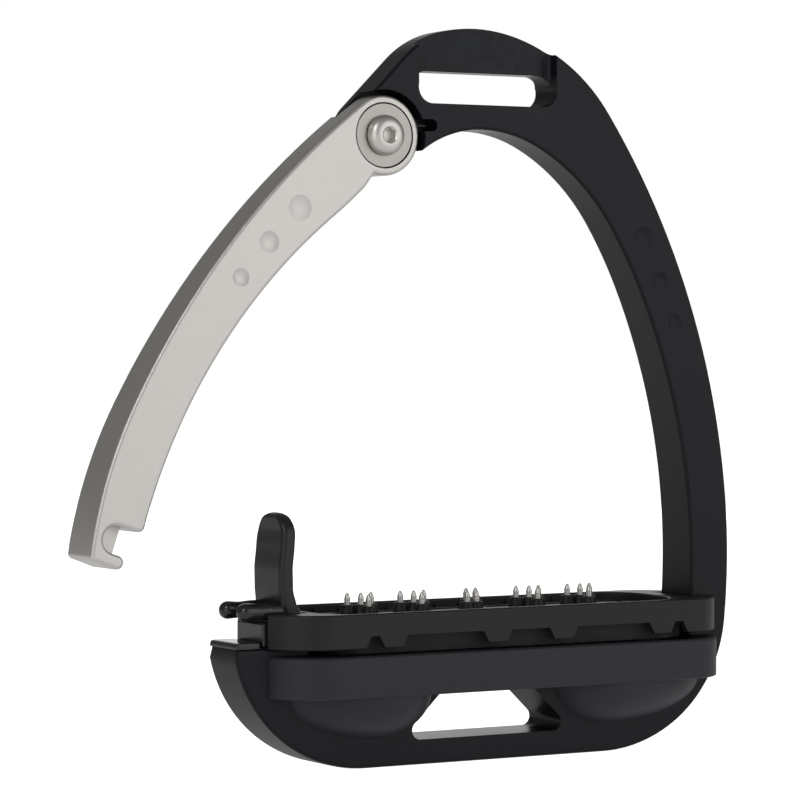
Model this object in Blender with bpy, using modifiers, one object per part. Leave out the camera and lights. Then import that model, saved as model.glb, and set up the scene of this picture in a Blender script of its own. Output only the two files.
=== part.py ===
"""Safety stirrup iron: a one-piece frame with a swing-out release arm, a latch lever and a studded tread.

Axes: +X towards the fixed branch, +Y to the back, +Z up. The origin is the middle of the flat sole.
Sizes below are in millimetres and are turned into metres when a mesh is made.
"""
import math

import bmesh
import bpy
from mathutils import Matrix, Vector

MM = 0.001
GAP = 0.3                     # clearance between pieces that touch
ARC_TOLERANCE = 0.05          # largest distance between an arc and its chord

# Frame outline, from the sole up the fixed branch to the crown
SOLE_HALF = 33.2
OUTER_ARCS = ((38.7, 32.0), (33.6, 51.6), (160.0, 12.0), (187.9, 29.5))
END_ARCS = ((36.0, 32.0), (33.1, 51.6))   # the outline on the latch side, up to the seat
CROWN_RADIUS = 44.6
CROWN_TOP = 173.3
INNER_FOOT = (58.2, 27.0)
INNER_HEADING = 83.5
INNER_ARCS = ((158.0, 31.8), (113.0, 8.6), (52.0, 29.6))
ARCH_TOP = 149.2
ARCH_RADIUS_RIGHT = 35.6
ARCH_RADIUS_LEFT = 28.0
BASE_HALF_THICKNESS = 7.2     # half thickness at the sole
BRANCH_TAPER = 0.0145         # loss of half thickness for each millimetre of height
SEAT_Z = 29.0                 # top of the frame's short end, under the bumper
SEAT_X = -66.4

# Strap slot and the thinned bar above it
SLOT_CENTRE = (1.7, 158.9)
SLOT_LENGTH = 38.6
SLOT_HEIGHT = 7.7
BAR_FRONT_Y = -1.5
BAR_BACK_Y = 4.0
BAR_X = (-17.5, 20.9)         # the length over which the bar is thinned

# Hinge of the release arm
PIVOT = (-26.6, 147.2)
EYE_RADIUS = 9.4
HINGE_RECESS_RADIUS = 10.7
LUG_FRONT_Y = 2.2
EYE_BACK_Y = 1.1
SPRING_LEG_Z = (148.4, 151.3)
SPRING_LEG_END_X = -12.6
OPEN_ANGLE = 18.5             # how far the arm stands open at rest

# Release arm, given in its closed position
ARM_HALF_THICKNESS = 7.0
ARM_TAPER = 0.0178
ARM_OUTER_FOOT = (-68.9, 31.9)
ARM_OUTER_HEADING = 99.6
ARM_OUTER_ARCS = ((109.0, 19.1), (206.0, 25.8))
ARM_INNER_FOOT = (-57.9, 40.4)
ARM_INNER_HEADING = 91.9
ARM_INNER_ARCS = ((141.0, 36.3), (-110.0, 7.2))
CATCH_CENTRE = (-64.0, 37.45)
CATCH_RADIUS = 3.15
CATCH_FLOOR_X = -61.9
LIP_TIP_X = -60.5
LIP_BOTTOM_Z = 31.1
TONGUE_HALF = 1.8             # half thickness of the web between the two catch pockets

# Latch
LATCH_HALF = 6.4
LEVER_PIN = (-55.4, 33.3)
LEVER_PIN_RADIUS = 1.25
NOSE_CENTRE = (-63.4, 37.3)
NOSE_RADIUS = 2.1
BLADE_THICKNESS = 3.6
BLADE_HALF = 6.9
BLADE_TOP_Z = 59.8
BUMPER_X = (-67.0, -60.5)

# Platform and tread, seen from above
PLATFORM_Z = (17.4, 27.1)
PLATFORM_X = (-59.5, 65.4)
PLATFORM_HALF = 17.2
TREAD_Z = (28.8, 36.8)
TREAD_X = (-60.2, 65.0)
TREAD_HALF = 16.8
TREAD_CENTRE_X = 6.2
CORNER_RADIUS = 13.0
END_RADIUS = 15.0             # corners at the latch end
TREAD_WALL = 1.8
WELL_X = (-46.6, 52.0)
TREAD_FLOOR = (31.9, 32.7)
NOTCH_TOP_Z = 31.6
NOTCH_SLOPE = 1.5
NOTCHES = ((-44.9, -39.7), (-35.2, -11.6), (-6.7, 6.7), (11.6, 35.2), (39.7, 44.9))
BRANCH_GAP_X = 57.2
LEVER_ROOM_HALF = 7.3
REAR_GAP = ((18.5, 40.5), 34.4)   # where the rear wall is open, and up to which height
WINDOW_BOTTOM = (5.9, 24.0)   # height and half width of the base window at its sill
WINDOW_TOP = (17.2, 12.2)
PODS = ((-30.0, 25.4, 16.0), (34.0, 16.0, 29.9))   # lowest place, reach to the left and to the right
POD_HALF_WIDTH = 16.6
POD_DEPTH = 11.7
STUD_CLUSTERS = (-29.9, -15.5, 16.8, 31.5)
MIDDLE_STUDS = ((-0.5, 1.9), (2.1, 1.9), (-3.9, -4.2), (-1.3, -4.2))
STUD_PITCH = 3.2
STUD_RADIUS = 0.75
STUD_TIP_Z = 40.3
GRID_HALF = 11.6
GRID_TOP = 35.0
SCREW_LENGTH = 12.6
SCREW_SPOTS = ((-38.6, -6.5), (-38.6, 6.5), (44.0, -6.5), (44.0, 6.5))


# ---------------------------------------------------------------- scene, materials and collections

def clear_scene():
    for obj in list(bpy.data.objects):
        bpy.data.objects.remove(obj)


def new_collection(name):
    coll = bpy.data.collections.new(name)
    bpy.context.scene.collection.children.link(coll)
    return coll


def material(name, colour, roughness, metallic):
    mat = bpy.data.materials.new(name)
    mat.use_nodes = True
    shader = mat.node_tree.nodes["Principled BSDF"]
    shader.inputs["Base Color"].default_value = (*colour, 1.0)
    shader.inputs["Roughness"].default_value = roughness
    shader.inputs["Metallic"].default_value = metallic
    mat.diffuse_color = (*colour, 1.0)
    return mat


clear_scene()
PARTS = new_collection("safety_stirrup_iron")
CUTTERS = new_collection("cutters")
MATERIALS = {
    "black": material("satin_black_coat", (0.018, 0.018, 0.020), 0.38, 0.0),
    "silver": material("satin_aluminium", (0.55, 0.53, 0.51), 0.34, 1.0),
    "steel": material("stainless_steel", (0.60, 0.57, 0.54), 0.25, 1.0),
    "plastic": material("black_nylon", (0.022, 0.022, 0.023), 0.45, 0.0),
    "gloss": material("gloss_black", (0.010, 0.010, 0.011), 0.12, 0.0),
    "rubber": material("black_rubber", (0.012, 0.012, 0.012), 0.75, 0.0),
    "bronze": material("bearing_bronze", (0.42, 0.27, 0.12), 0.35, 1.0),
}


# ---------------------------------------------------------------- outlines

def arc_steps(radius, angle):
    """How many chords keep an arc of this radius and angle within the tolerance."""
    step = 2.0 * math.acos(1.0 - ARC_TOLERANCE / max(radius, 4.0 * ARC_TOLERANCE))
    return max(2, math.ceil(angle / step))


def arc_chain(start, heading, arcs):
    """Points along arcs that join smoothly: a radius turns left, a negative one turns right."""
    x, z = start
    turn = math.radians(heading)
    points = [(x, z)]
    for radius, degrees in arcs:
        angle = math.radians(degrees) * (1.0 if radius > 0 else -1.0)
        centre = (x - radius * math.sin(turn), z + radius * math.cos(turn))
        steps = arc_steps(abs(radius), abs(angle))
        for i in range(1, steps + 1):
            t = turn + angle * i / steps
            points.append((centre[0] + radius * math.sin(t), centre[1] - radius * math.cos(t)))
        turn += angle
        x, z = points[-1]
    return points


def circle_arc(centre, radius, first, last):
    """Points on a circle between two directions in degrees."""
    steps = arc_steps(radius, abs(math.radians(last - first)))
    points = []
    for i in range(steps + 1):
        t = math.radians(first + (last - first) * i / steps)
        points.append((centre[0] + radius * math.cos(t), centre[1] + radius * math.sin(t)))
    return points


def mirrored(points):
    return [(-x, z) for x, z in reversed(points)]


def turned_about(points, centre, degrees):
    """The points turned anticlockwise about a centre."""
    c = math.cos(math.radians(degrees))
    s = math.sin(math.radians(degrees))
    out = []
    for x, z in points:
        dx = x - centre[0]
        dz = z - centre[1]
        out.append((centre[0] + dx * c - dz * s, centre[1] + dx * s + dz * c))
    return out


def rounded_rectangle(x0, x1, y0, y1, radius, left=None):
    """The two corners at x0 take the radius left, where it is given."""
    left = radius if left is None else left
    corners = (((x1 - radius, y0 + radius), radius, -90), ((x1 - radius, y1 - radius), radius, 0),
               ((x0 + left, y1 - left), left, 90), ((x0 + left, y0 + left), left, 180))
    points = []
    for centre, size, first in corners:
        points += circle_arc(centre, size, first, first + 90)
    return points


def box_outline(x0, x1, z0, z1):
    return [(x0, z0), (x1, z0), (x1, z1), (x0, z1)]


# ---------------------------------------------------------------- meshes

def mesh_object(name, mesh, mat, is_cutter=False):
    obj = bpy.data.objects.new(name, mesh)
    if is_cutter:
        CUTTERS.objects.link(obj)
        obj.hide_render = True
        obj.display_type = "WIRE"
    else:
        PARTS.objects.link(obj)
    mesh.materials.clear()
    mesh.materials.append(MATERIALS[mat])
    return obj


def evaluated_mesh(obj):
    depsgraph = bpy.context.evaluated_depsgraph_get()
    depsgraph.update()
    mesh = bpy.data.meshes.new_from_object(obj.evaluated_get(depsgraph))
    mesh.transform(obj.matrix_world)
    return mesh


def curve_to_object(name, curve, matrix, mat, is_cutter):
    """A filled or bevelled curve turned into a welded mesh object."""
    carrier = bpy.data.objects.new(name + "_curve", curve)
    PARTS.objects.link(carrier)
    carrier.matrix_world = matrix
    bpy.context.view_layer.update()
    mesh = evaluated_mesh(carrier)
    bpy.data.objects.remove(carrier)
    bm = bmesh.new()
    bm.from_mesh(mesh)
    bmesh.ops.remove_doubles(bm, verts=bm.verts, dist=0.00001)
    bmesh.ops.recalc_face_normals(bm, faces=bm.faces)
    bm.to_mesh(mesh)
    bm.free()
    mesh.name = name
    return mesh_object(name, mesh, mat, is_cutter)


def flat_curve(name, outline, half_thickness):
    curve = bpy.data.curves.new(name, "CURVE")
    curve.dimensions = "2D"
    curve.fill_mode = "BOTH"
    curve.extrude = half_thickness * MM
    spline = curve.splines.new("POLY")
    spline.points.add(len(outline) - 1)
    for point, (a, b) in zip(spline.points, outline):
        point.co = (a * MM, b * MM, 0.0, 1.0)
    spline.use_cyclic_u = True
    return curve


def side_plate(name, outline, y0, y1, mat="black", is_cutter=False):
    """An outline in X and Z, given thickness from y0 to y1."""
    curve = flat_curve(name, outline, (y1 - y0) / 2)
    matrix = Matrix.Translation((0, (y0 + y1) / 2 * MM, 0)) @ Matrix.Rotation(math.pi / 2, 4, "X")
    return curve_to_object(name, curve, matrix, mat, is_cutter)


def top_plate(name, outline, z0, z1, mat="plastic", is_cutter=False):
    """An outline in X and Y, given thickness from z0 to z1."""
    curve = flat_curve(name, outline, (z1 - z0) / 2)
    matrix = Matrix.Translation((0, 0, (z0 + z1) / 2 * MM))
    return curve_to_object(name, curve, matrix, mat, is_cutter)


def box(name, x, y, z, mat="plastic", is_cutter=False):
    """A block between the given pairs of limits."""
    mesh = bpy.data.meshes.new(name)
    bm = bmesh.new()
    bmesh.ops.create_cube(bm, size=1.0)
    size = Vector((x[1] - x[0], y[1] - y[0], z[1] - z[0])) * MM
    centre = Vector((x[1] + x[0], y[1] + y[0], z[1] + z[0])) * 0.5 * MM
    bmesh.ops.scale(bm, verts=bm.verts, vec=size)
    bmesh.ops.translate(bm, verts=bm.verts, vec=centre)
    bm.to_mesh(mesh)
    bm.free()
    return mesh_object(name, mesh, mat, is_cutter)


def cylinder(name, centre, radius, y0, y1, mat="black", is_cutter=False, segments=48):
    """A round bar along Y, through centre in X and Z."""
    mesh = bpy.data.meshes.new(name)
    bm = bmesh.new()
    bmesh.ops.create_cone(bm, cap_ends=True, segments=segments, radius1=radius * MM,
                          radius2=radius * MM, depth=(y1 - y0) * MM)
    bmesh.ops.rotate(bm, verts=bm.verts, cent=(0, 0, 0), matrix=Matrix.Rotation(math.pi / 2, 3, "X"))
    bmesh.ops.translate(bm, verts=bm.verts, vec=Vector((centre[0], (y0 + y1) / 2, centre[1])) * MM)
    bm.to_mesh(mesh)
    bm.free()
    return mesh_object(name, mesh, mat, is_cutter)


def turned(name, profile, mat, steps=40):
    """A turned solid about local Z: the profile gives radius and height, outer side top to bottom."""
    mesh = bpy.data.meshes.new(name)
    bm = bmesh.new()
    verts = [bm.verts.new((r * MM, 0.0, z * MM)) for r, z in profile]
    closed = profile[0][0] > 0 and profile[-1][0] > 0
    for a, b in zip(verts, verts[1:] + (verts[:1] if closed else [])):
        bm.edges.new((a, b))
    bm.to_mesh(mesh)
    bm.free()
    obj = mesh_object(name, mesh, mat)
    screw = obj.modifiers.new("turn", "SCREW")
    screw.axis = "Z"
    screw.steps = steps
    screw.render_steps = steps
    screw.use_merge_vertices = True
    screw.merge_threshold = 0.00001
    return obj


def facing_front(obj, x, y, z):
    """Stands a turned piece with its local Z towards the front, at x, y, z."""
    obj.rotation_euler = (math.pi / 2, 0, 0)
    obj.location = (x * MM, y * MM, z * MM)
    return obj


def ring_profile(inner, outer, bottom, top):
    return [(outer, top), (outer, bottom), (inner, bottom), (inner, top)]


def boolean(obj, other, operation):
    mod = obj.modifiers.new(operation.lower(), "BOOLEAN")
    mod.operation = operation
    mod.object = other
    mod.solver = "EXACT"


def cut(obj, cutter):
    boolean(obj, cutter, "DIFFERENCE")


def join(obj, other):
    boolean(obj, other, "UNION")


def keep_inside(obj, other):
    boolean(obj, other, "INTERSECT")


def taper(obj, full, loss):
    """Pulls both flat faces in with height, so that the piece gets thinner towards its top."""
    for vert in obj.data.vertices:
        half = (full - loss * vert.co.z / MM) * MM
        vert.co.y = math.copysign(half, vert.co.y)


def apply_modifiers(obj):
    mesh = evaluated_mesh(obj)
    obj.modifiers.clear()
    obj.data = mesh


def set_pivot(obj, x, y, z):
    """Moves the origin of a piece onto its joint axis without moving the piece."""
    place = Vector((x, y, z)) * MM
    obj.data.transform(Matrix.Translation(-place))
    obj.location = place


def smooth(obj, degrees=32.0):
    obj.data.shade_smooth()
    obj.data.set_sharp_from_angle(angle=math.radians(degrees))


def wire(name, points, radius, mat):
    curve = bpy.data.curves.new(name, "CURVE")
    curve.dimensions = "3D"
    curve.bevel_depth = radius * MM
    curve.bevel_resolution = 2
    curve.use_fill_caps = True
    spline = curve.splines.new("POLY")
    spline.points.add(len(points) - 1)
    for point, (x, y, z) in zip(spline.points, points):
        point.co = (x * MM, y * MM, z * MM, 1.0)
    return curve_to_object(name, curve, Matrix.Identity(4), mat, False)


# ---------------------------------------------------------------- frame

def crown_left():
    """From the crown top to the hinge lug: two arcs, then a 45 degree line that touches the eye circle."""
    lead = 12.0
    diagonal = math.radians(45.0)
    touch = (PIVOT[0] - EYE_RADIUS * math.sin(diagonal), PIVOT[1] + EYE_RADIUS * math.cos(diagonal))
    start = arc_chain((0.0, CROWN_TOP), 180.0, ((CROWN_RADIUS, lead),))
    x, z = start[-1]
    sine = math.sin(diagonal) - math.sin(math.radians(lead))
    cosine = math.cos(math.radians(lead)) - math.cos(diagonal)
    radius = ((touch[1] - touch[0]) - (z - x)) / (sine - cosine)
    bend = arc_chain((x, z), 180.0 + lead, ((radius, 45.0 - lead),))
    return start + bend[1:] + [touch]


def frame_outline():
    outer = arc_chain((SOLE_HALF, 0.0), 0.0, OUTER_ARCS)
    heading = sum(angle for _, angle in OUTER_ARCS)
    crown = arc_chain(outer[-1], heading, ((CROWN_RADIUS, 180.0 - heading),))
    shift = crown[-1][0]
    crown = [(x - shift * i / len(crown), z) for i, (x, z) in enumerate(crown)]
    rise = CROWN_TOP - crown[-1][1]
    crown = [(x, z + rise * i / (len(crown) - 1)) for i, (x, z) in enumerate(crown)]
    lug = circle_arc(PIVOT, EYE_RADIUS, 135.0, 333.0)
    arch_left = circle_arc((0.0, ARCH_TOP - ARCH_RADIUS_LEFT), ARCH_RADIUS_LEFT, 126.0, 90.0)
    inner = arc_chain(INNER_FOOT, INNER_HEADING, INNER_ARCS)
    heading = INNER_HEADING + sum(angle for _, angle in INNER_ARCS)
    inner += arc_chain(inner[-1], heading, ((ARCH_RADIUS_RIGHT, 180.0 - heading),))[1:]
    shift = inner[-1][0] - 0.2
    rise = ARCH_TOP - inner[-1][1]
    count = len(inner) - 1
    inner = [(x - shift * (i / count) ** 2, z + rise * (i / count) ** 2) for i, (x, z) in enumerate(inner)]
    end = arc_chain((SOLE_HALF, 0.0), 0.0, END_ARCS)
    left = [p for p in mirrored(end) if p[1] < SEAT_Z - 1.0]
    seat = [(-48.0, INNER_FOOT[1]), (-48.0, SEAT_Z), (SEAT_X, SEAT_Z)]
    return outer[:-1] + crown[:-1] + crown_left() + lug[1:] + arch_left[:-1] + inner[::-1] + seat + left


def make_frame():
    frame = side_plate("frame", frame_outline(), -10.0, 10.0)
    taper(frame, BASE_HALF_THICKNESS, BRANCH_TAPER)

    platform_outline = rounded_rectangle(*PLATFORM_X, -PLATFORM_HALF, PLATFORM_HALF, CORNER_RADIUS,
                                         END_RADIUS)
    platform = top_plate("platform_band", platform_outline, *PLATFORM_Z, "black", True)
    join(frame, platform)
    for i, (x, left, right) in enumerate(PODS):
        join(frame, pod(f"pod_{i}", x, left, right))

    z0, half0 = WINDOW_BOTTOM
    z1, half1 = WINDOW_TOP
    window = side_plate("base_window", window_outline(z0, half0, z1, half1), -30.0, 30.0, is_cutter=True)
    cut(frame, window)

    half = SLOT_LENGTH / 2 - SLOT_HEIGHT / 2
    slot_points = circle_arc((SLOT_CENTRE[0] + half, SLOT_CENTRE[1]), SLOT_HEIGHT / 2, -90, 90)
    slot_points += circle_arc((SLOT_CENTRE[0] - half, SLOT_CENTRE[1]), SLOT_HEIGHT / 2, 90, 270)
    cut(frame, side_plate("strap_slot", slot_points, -20.0, 20.0, is_cutter=True))
    cut(frame, box("bar_front_relief", BAR_X, (-20.0, BAR_FRONT_Y), (SLOT_CENTRE[1], 180.0), "black", True))
    cut(frame, box("bar_back_relief", BAR_X, (BAR_BACK_Y, 20.0), (SLOT_CENTRE[1], 180.0), "black", True))

    cut(frame, cylinder("hinge_recess", PIVOT, HINGE_RECESS_RADIUS, -20.0, LUG_FRONT_Y, is_cutter=True, segments=72))
    leg_z = SPRING_LEG_Z
    leg_radius = (leg_z[1] - leg_z[0]) / 2
    leg = [(PIVOT[0] + 8.0, leg_z[0])]
    leg += circle_arc((SPRING_LEG_END_X - leg_radius, sum(leg_z) / 2), leg_radius, -90, 90)
    leg += [(PIVOT[0] + 8.0, leg_z[1])]
    cut(frame, side_plate("spring_leg_slot", leg, -20.0, -0.6, is_cutter=True))
    cut(frame, cylinder("nut_bore", PIVOT, 3.6 + GAP, 0.0, 10.0, is_cutter=True))
    cut(frame, cylinder("nut_flange_recess", PIVOT, 5.0 + GAP, 3.9, 10.0, is_cutter=True))

    for i, (x, y) in enumerate(SCREW_SPOTS):
        hole = hole_along_z(f"tread_screw_bore_{i}", (x, y), 2.0 + GAP, PLATFORM_Z[1] - 6.0, PLATFORM_Z[1] + 9.0)
        cut(frame, hole)
    apply_modifiers(frame)
    tidy_mesh(frame)
    smooth(frame)
    return frame


def window_outline(z0, half0, z1, half1):
    """Four corners, the two at the sill rounded."""
    slope = math.atan2(z1 - z0, half0 - half1)
    radius = 2.2
    back = radius / math.tan(slope / 2)
    turn = 180.0 - math.degrees(slope)
    right = arc_chain((half0 - back, z0), 0.0, ((radius, turn),))
    return [(-x, z) for x, z in reversed(right)][:-1] + [(-half0 + back, z0)] + right + [(half1, z1), (-half1, z1)]


def pod(name, x, left, right):
    """The swelling under the platform, steep on one side and long on the other."""
    mesh = bpy.data.meshes.new(name)
    bm = bmesh.new()
    bmesh.ops.create_uvsphere(bm, u_segments=44, v_segments=22, radius=1.0)
    for vert in bm.verts:
        vert.co.x *= left if vert.co.x < 0 else right
    bmesh.ops.scale(bm, verts=bm.verts, vec=(MM, POD_HALF_WIDTH * MM, POD_DEPTH * MM))
    bmesh.ops.translate(bm, verts=bm.verts, vec=Vector((x, 0.0, PLATFORM_Z[0] + 0.05)) * MM)
    geometry = list(bm.verts) + list(bm.edges) + list(bm.faces)
    cut_at = Vector((0.0, 0.0, PLATFORM_Z[0] + 0.9)) * MM
    bmesh.ops.bisect_plane(bm, geom=geometry, plane_co=cut_at, plane_no=(0, 0, 1), clear_outer=True)
    rim = [edge for edge in bm.edges if edge.is_boundary]
    bmesh.ops.edgeloop_fill(bm, edges=rim)
    bmesh.ops.recalc_face_normals(bm, faces=bm.faces)
    bm.to_mesh(mesh)
    bm.free()
    return mesh_object(name, mesh, "black", True)


def hole_along_z(name, centre, radius, z0, z1, segments=20):
    mesh = bpy.data.meshes.new(name)
    bm = bmesh.new()
    bmesh.ops.create_cone(bm, cap_ends=True, segments=segments, radius1=radius * MM,
                          radius2=radius * MM, depth=(z1 - z0) * MM)
    bmesh.ops.translate(bm, verts=bm.verts, vec=Vector((centre[0], centre[1], (z0 + z1) / 2)) * MM)
    bm.to_mesh(mesh)
    bm.free()
    return mesh_object(name, mesh, "plastic", True)


def tidy_mesh(obj):
    """Welds the slivers that a chain of cuts leaves behind."""
    bm = bmesh.new()
    bm.from_mesh(obj.data)
    bmesh.ops.remove_doubles(bm, verts=bm.verts, dist=0.00001)
    bmesh.ops.dissolve_degenerate(bm, edges=bm.edges, dist=0.000005)
    bm.to_mesh(obj.data)
    bm.free()


# ---------------------------------------------------------------- release arm and its hinge

def arm_outline():
    outer = arc_chain(ARM_OUTER_FOOT, ARM_OUTER_HEADING, tuple((-r, a) for r, a in ARM_OUTER_ARCS))
    end = outer[-1]
    first = math.degrees(math.atan2(end[1] - PIVOT[1], end[0] - PIVOT[0]))
    inner = arc_chain(ARM_INNER_FOOT, ARM_INNER_HEADING, tuple((-r, a) for r, a in ARM_INNER_ARCS))
    last = math.degrees(math.atan2(inner[-1][1] - PIVOT[1], inner[-1][0] - PIVOT[0]))
    eye = circle_arc(PIVOT, EYE_RADIUS, first, last)
    catch = circle_arc(CATCH_CENTRE, CATCH_RADIUS, 90.0, 270.0)
    lip_top = CATCH_CENTRE[1] - CATCH_RADIUS
    lip_radius = (lip_top - LIP_BOTTOM_Z) / 2
    lip = circle_arc((LIP_TIP_X - lip_radius, lip_top - lip_radius), lip_radius, 90.0, -90.0)
    corner = circle_arc((ARM_INNER_FOOT[0] - 1.6, CATCH_CENTRE[1] + CATCH_RADIUS + 1.6), 1.6, 0.0, -90.0)
    heel = circle_arc((ARM_OUTER_FOOT[0] + 1.2, LIP_BOTTOM_Z + 1.4), 1.2, 260.0, 190.0)
    return outer[1:] + eye[1:] + inner[-2:0:-1] + corner + catch + lip + heel


def make_release_arm():
    arm = side_plate("release_arm", arm_outline(), -10.0, 10.0, "silver")
    taper(arm, ARM_HALF_THICKNESS, ARM_TAPER)
    cut(arm, cylinder("lug_clearance", PIVOT, HINGE_RECESS_RADIUS, EYE_BACK_Y, 20.0, is_cutter=True, segments=72))
    cut(arm, cylinder("spring_well", PIVOT, 7.75, -20.0, -0.1, is_cutter=True, segments=64))
    cut(arm, cylinder("bush_bore", PIVOT, 3.8 + GAP, -5.0, 5.0, is_cutter=True))
    window = circle_arc(PIVOT, 6.9, 8.0, 50.0) + circle_arc(PIVOT, 10.4, 50.0, 8.0)
    cut(arm, side_plate("spring_leg_window", window, -2.9, -0.7, is_cutter=True))
    tongue = box("catch_tongue", (-67.2, CATCH_FLOOR_X), (-TONGUE_HALF, TONGUE_HALF), (33.6, 41.2), "silver", True)
    join(arm, tongue)
    apply_modifiers(arm)
    tidy_mesh(arm)
    place = Vector((PIVOT[0], 0.0, PIVOT[1])) * MM
    turn = Matrix.Translation(place) @ Matrix.Rotation(math.radians(OPEN_ANGLE), 4, "Y")
    arm.data.transform(turn @ Matrix.Translation(-place))
    set_pivot(arm, PIVOT[0], 0.0, PIVOT[1])
    smooth(arm)
    return arm


def make_hinge():
    x, z = PIVOT
    head = [(0.0, 7.1), (1.0, 7.1)]
    head += [(r, 4.6 + 2.5 * math.sqrt(max(0.0, 1.0 - ((r - 1.0) / 3.75) ** 2))) for r in (2.0, 3.0, 3.9, 4.5)]
    profile = head + [(4.75, 4.6), (2.5, 4.6), (2.5, -4.5), (0.0, -4.5)]
    screw = facing_front(turned("pivot_screw", profile, "steel"), x, 0.0, z)
    socket = cylinder("hex_socket", PIVOT, 1.75, -9.0, -5.3, "steel", True, segments=6)
    cut(screw, socket)
    washer = facing_front(turned("pivot_washer", ring_profile(2.8, 7.45, 3.3, 4.3), "steel", 56), x, 0.0, z)
    ring = facing_front(turned("well_seal", ring_profile(6.6, 7.45, 2.7, 3.1), "rubber", 48), x, 0.0, z)
    bush = facing_front(turned("pivot_bush", ring_profile(2.8, 3.8, -1.6, 3.0), "bronze", 40), x, 0.0, z)
    thrust = facing_front(turned("thrust_washer", ring_profile(4.1, 8.6, -1.9, -1.4), "bronze", 48), x, 0.0, z)
    nut_profile = [(3.6, -2.0), (3.6, -4.0), (5.0, -4.0), (5.0, -4.8), (2.8, -4.8), (2.8, -2.0)]
    nut = facing_front(turned("pivot_nut", nut_profile, "steel", 40), x, 0.0, z)
    for piece in (screw, washer, ring, bush, thrust, nut):
        smooth(piece)


def make_arm_spring():
    """A torsion spring round the bush: its fixed leg lies in the frame's slot."""
    x, z = PIVOT
    coil_radius = 5.3
    turns = 2.0
    steps = 40
    first_y = -2.06
    last_y = -0.62
    leg_z = sum(SPRING_LEG_Z) / 2
    start = 38.0
    bend = arc_chain((0.0, leg_z), 180.0, ((-1.5, 90.0 - start),))
    shift = x + coil_radius * math.cos(math.radians(start)) - bend[-1][0]
    points = [(SPRING_LEG_END_X - 1.6, first_y, leg_z)]
    points += [(bx + shift, first_y, bz) for bx, bz in bend]
    for i in range(1, steps + 1):
        t = i / steps
        angle = math.radians(start) + 2 * math.pi * turns * t
        y = first_y + (last_y - first_y) * t
        points.append((x + coil_radius * math.cos(angle), y, z + coil_radius * math.sin(angle)))
    spring = wire("arm_spring", points, 0.33, "steel")
    smooth(spring, 50.0)


# ---------------------------------------------------------------- latch

def blade_outline():
    """Side view of the lever: an S-curved blade on a hub, with its foot spread over the tread."""
    half = BLADE_THICKNESS / 2
    spine = ((-53.7, 36.6), (-53.5, 42.0), (-53.6, 47.0), (-53.1, 52.0), (-52.7, 56.0), (-52.9, 57.6))
    right = [(x + half, z) for x, z in spine]
    left = [(x - half, z) for x, z in spine]
    tip = circle_arc((spine[-1][0], BLADE_TOP_Z - half), half, 0.0, 180.0)
    foot = [(-52.6, 35.4), (-49.3, 35.4), (-49.0, 35.9), (-50.2, 37.2), (-51.3, 39.2)]
    hub = circle_arc(LEVER_PIN, 2.5, 150.0, 380.0)
    return hub + foot + right[1:] + tip + left[:0:-1] + [(-55.3, 39.5), (-57.9, 38.6), (-57.9, 35.6)]


def make_lever():
    lever = side_plate("release_lever", blade_outline(), -BLADE_HALF, BLADE_HALF, "plastic")
    top = BLADE_TOP_Z + 0.4
    dome = [(-BLADE_HALF, 30.0), (BLADE_HALF, 30.0)]
    dome += circle_arc((0.0, top - BLADE_HALF), BLADE_HALF, 0.0, 180.0)
    front_view = flat_curve("blade_dome", dome, 20.0)
    stand = Matrix.Translation((LEVER_PIN[0] * MM, 0, 0)) @ Matrix.Rotation(math.pi / 2, 4, "Z")
    stand = stand @ Matrix.Rotation(math.pi / 2, 4, "X")
    keep_inside(lever, curve_to_object("blade_dome", front_view, stand, "plastic", True))
    for side in (-1, 1):
        y0, y1 = sorted((side * 2.2, side * LATCH_HALF))
        prong = circle_arc(NOSE_CENTRE, NOSE_RADIUS, 90.0, 270.0)
        prong += [(-57.0, NOSE_CENTRE[1] - NOSE_RADIUS + 0.3), (-54.0, 36.8), (-54.0, 39.0), (-57.0, 39.4)]
        join(lever, side_plate(f"prong_{side}", prong[::-1], y0, y1, "plastic", True))
    for side in (-1, 1):
        y0, y1 = sorted((side * 4.0, side * 9.0))
        cut(lever, side_plate(f"cheek_room_{side}", box_outline(-58.6, -51.2, 28.0, 35.5), y0, y1, is_cutter=True))
    cut(lever, cylinder("lever_pin_bore", LEVER_PIN, LEVER_PIN_RADIUS + GAP, -10.0, 10.0, is_cutter=True, segments=24))
    apply_modifiers(lever)
    tidy_mesh(lever)
    set_pivot(lever, LEVER_PIN[0], 0.0, LEVER_PIN[1])
    smooth(lever, 40.0)


def make_latch_block():
    """The block on the frame's short end that carries the lever's pin between two cheeks."""
    block = box("latch_block", (-60.0, -53.0), (-LATCH_HALF, LATCH_HALF), (SEAT_Z + GAP, 34.8), "plastic")
    cut(block, box("hub_room", (-58.3, -50.0), (-4.3, 4.3), (30.3, 40.0), "plastic", True))
    pin_bore = cylinder("block_pin_bore", LEVER_PIN, LEVER_PIN_RADIUS + 0.2, -10.0, 10.0, is_cutter=True, segments=24)
    cut(block, pin_bore)
    apply_modifiers(block)
    tidy_mesh(block)
    smooth(block)
    pin = cylinder("lever_pin", LEVER_PIN, LEVER_PIN_RADIUS, -6.1, 6.1, "steel", segments=24)
    smooth(pin)

    x = -50.7
    radius = 1.3
    turns = 4
    steps = 12 * turns
    bottom = SEAT_Z + GAP + 0.25
    top = 34.2
    points = []
    for i in range(steps + 1):
        t = i / steps
        angle = 2 * math.pi * turns * t
        points.append((x + radius * math.cos(angle), radius * math.sin(angle), bottom + (top - bottom) * t))
    spring = wire("lever_spring", points, 0.25, "steel")
    smooth(spring, 50.0)


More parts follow.
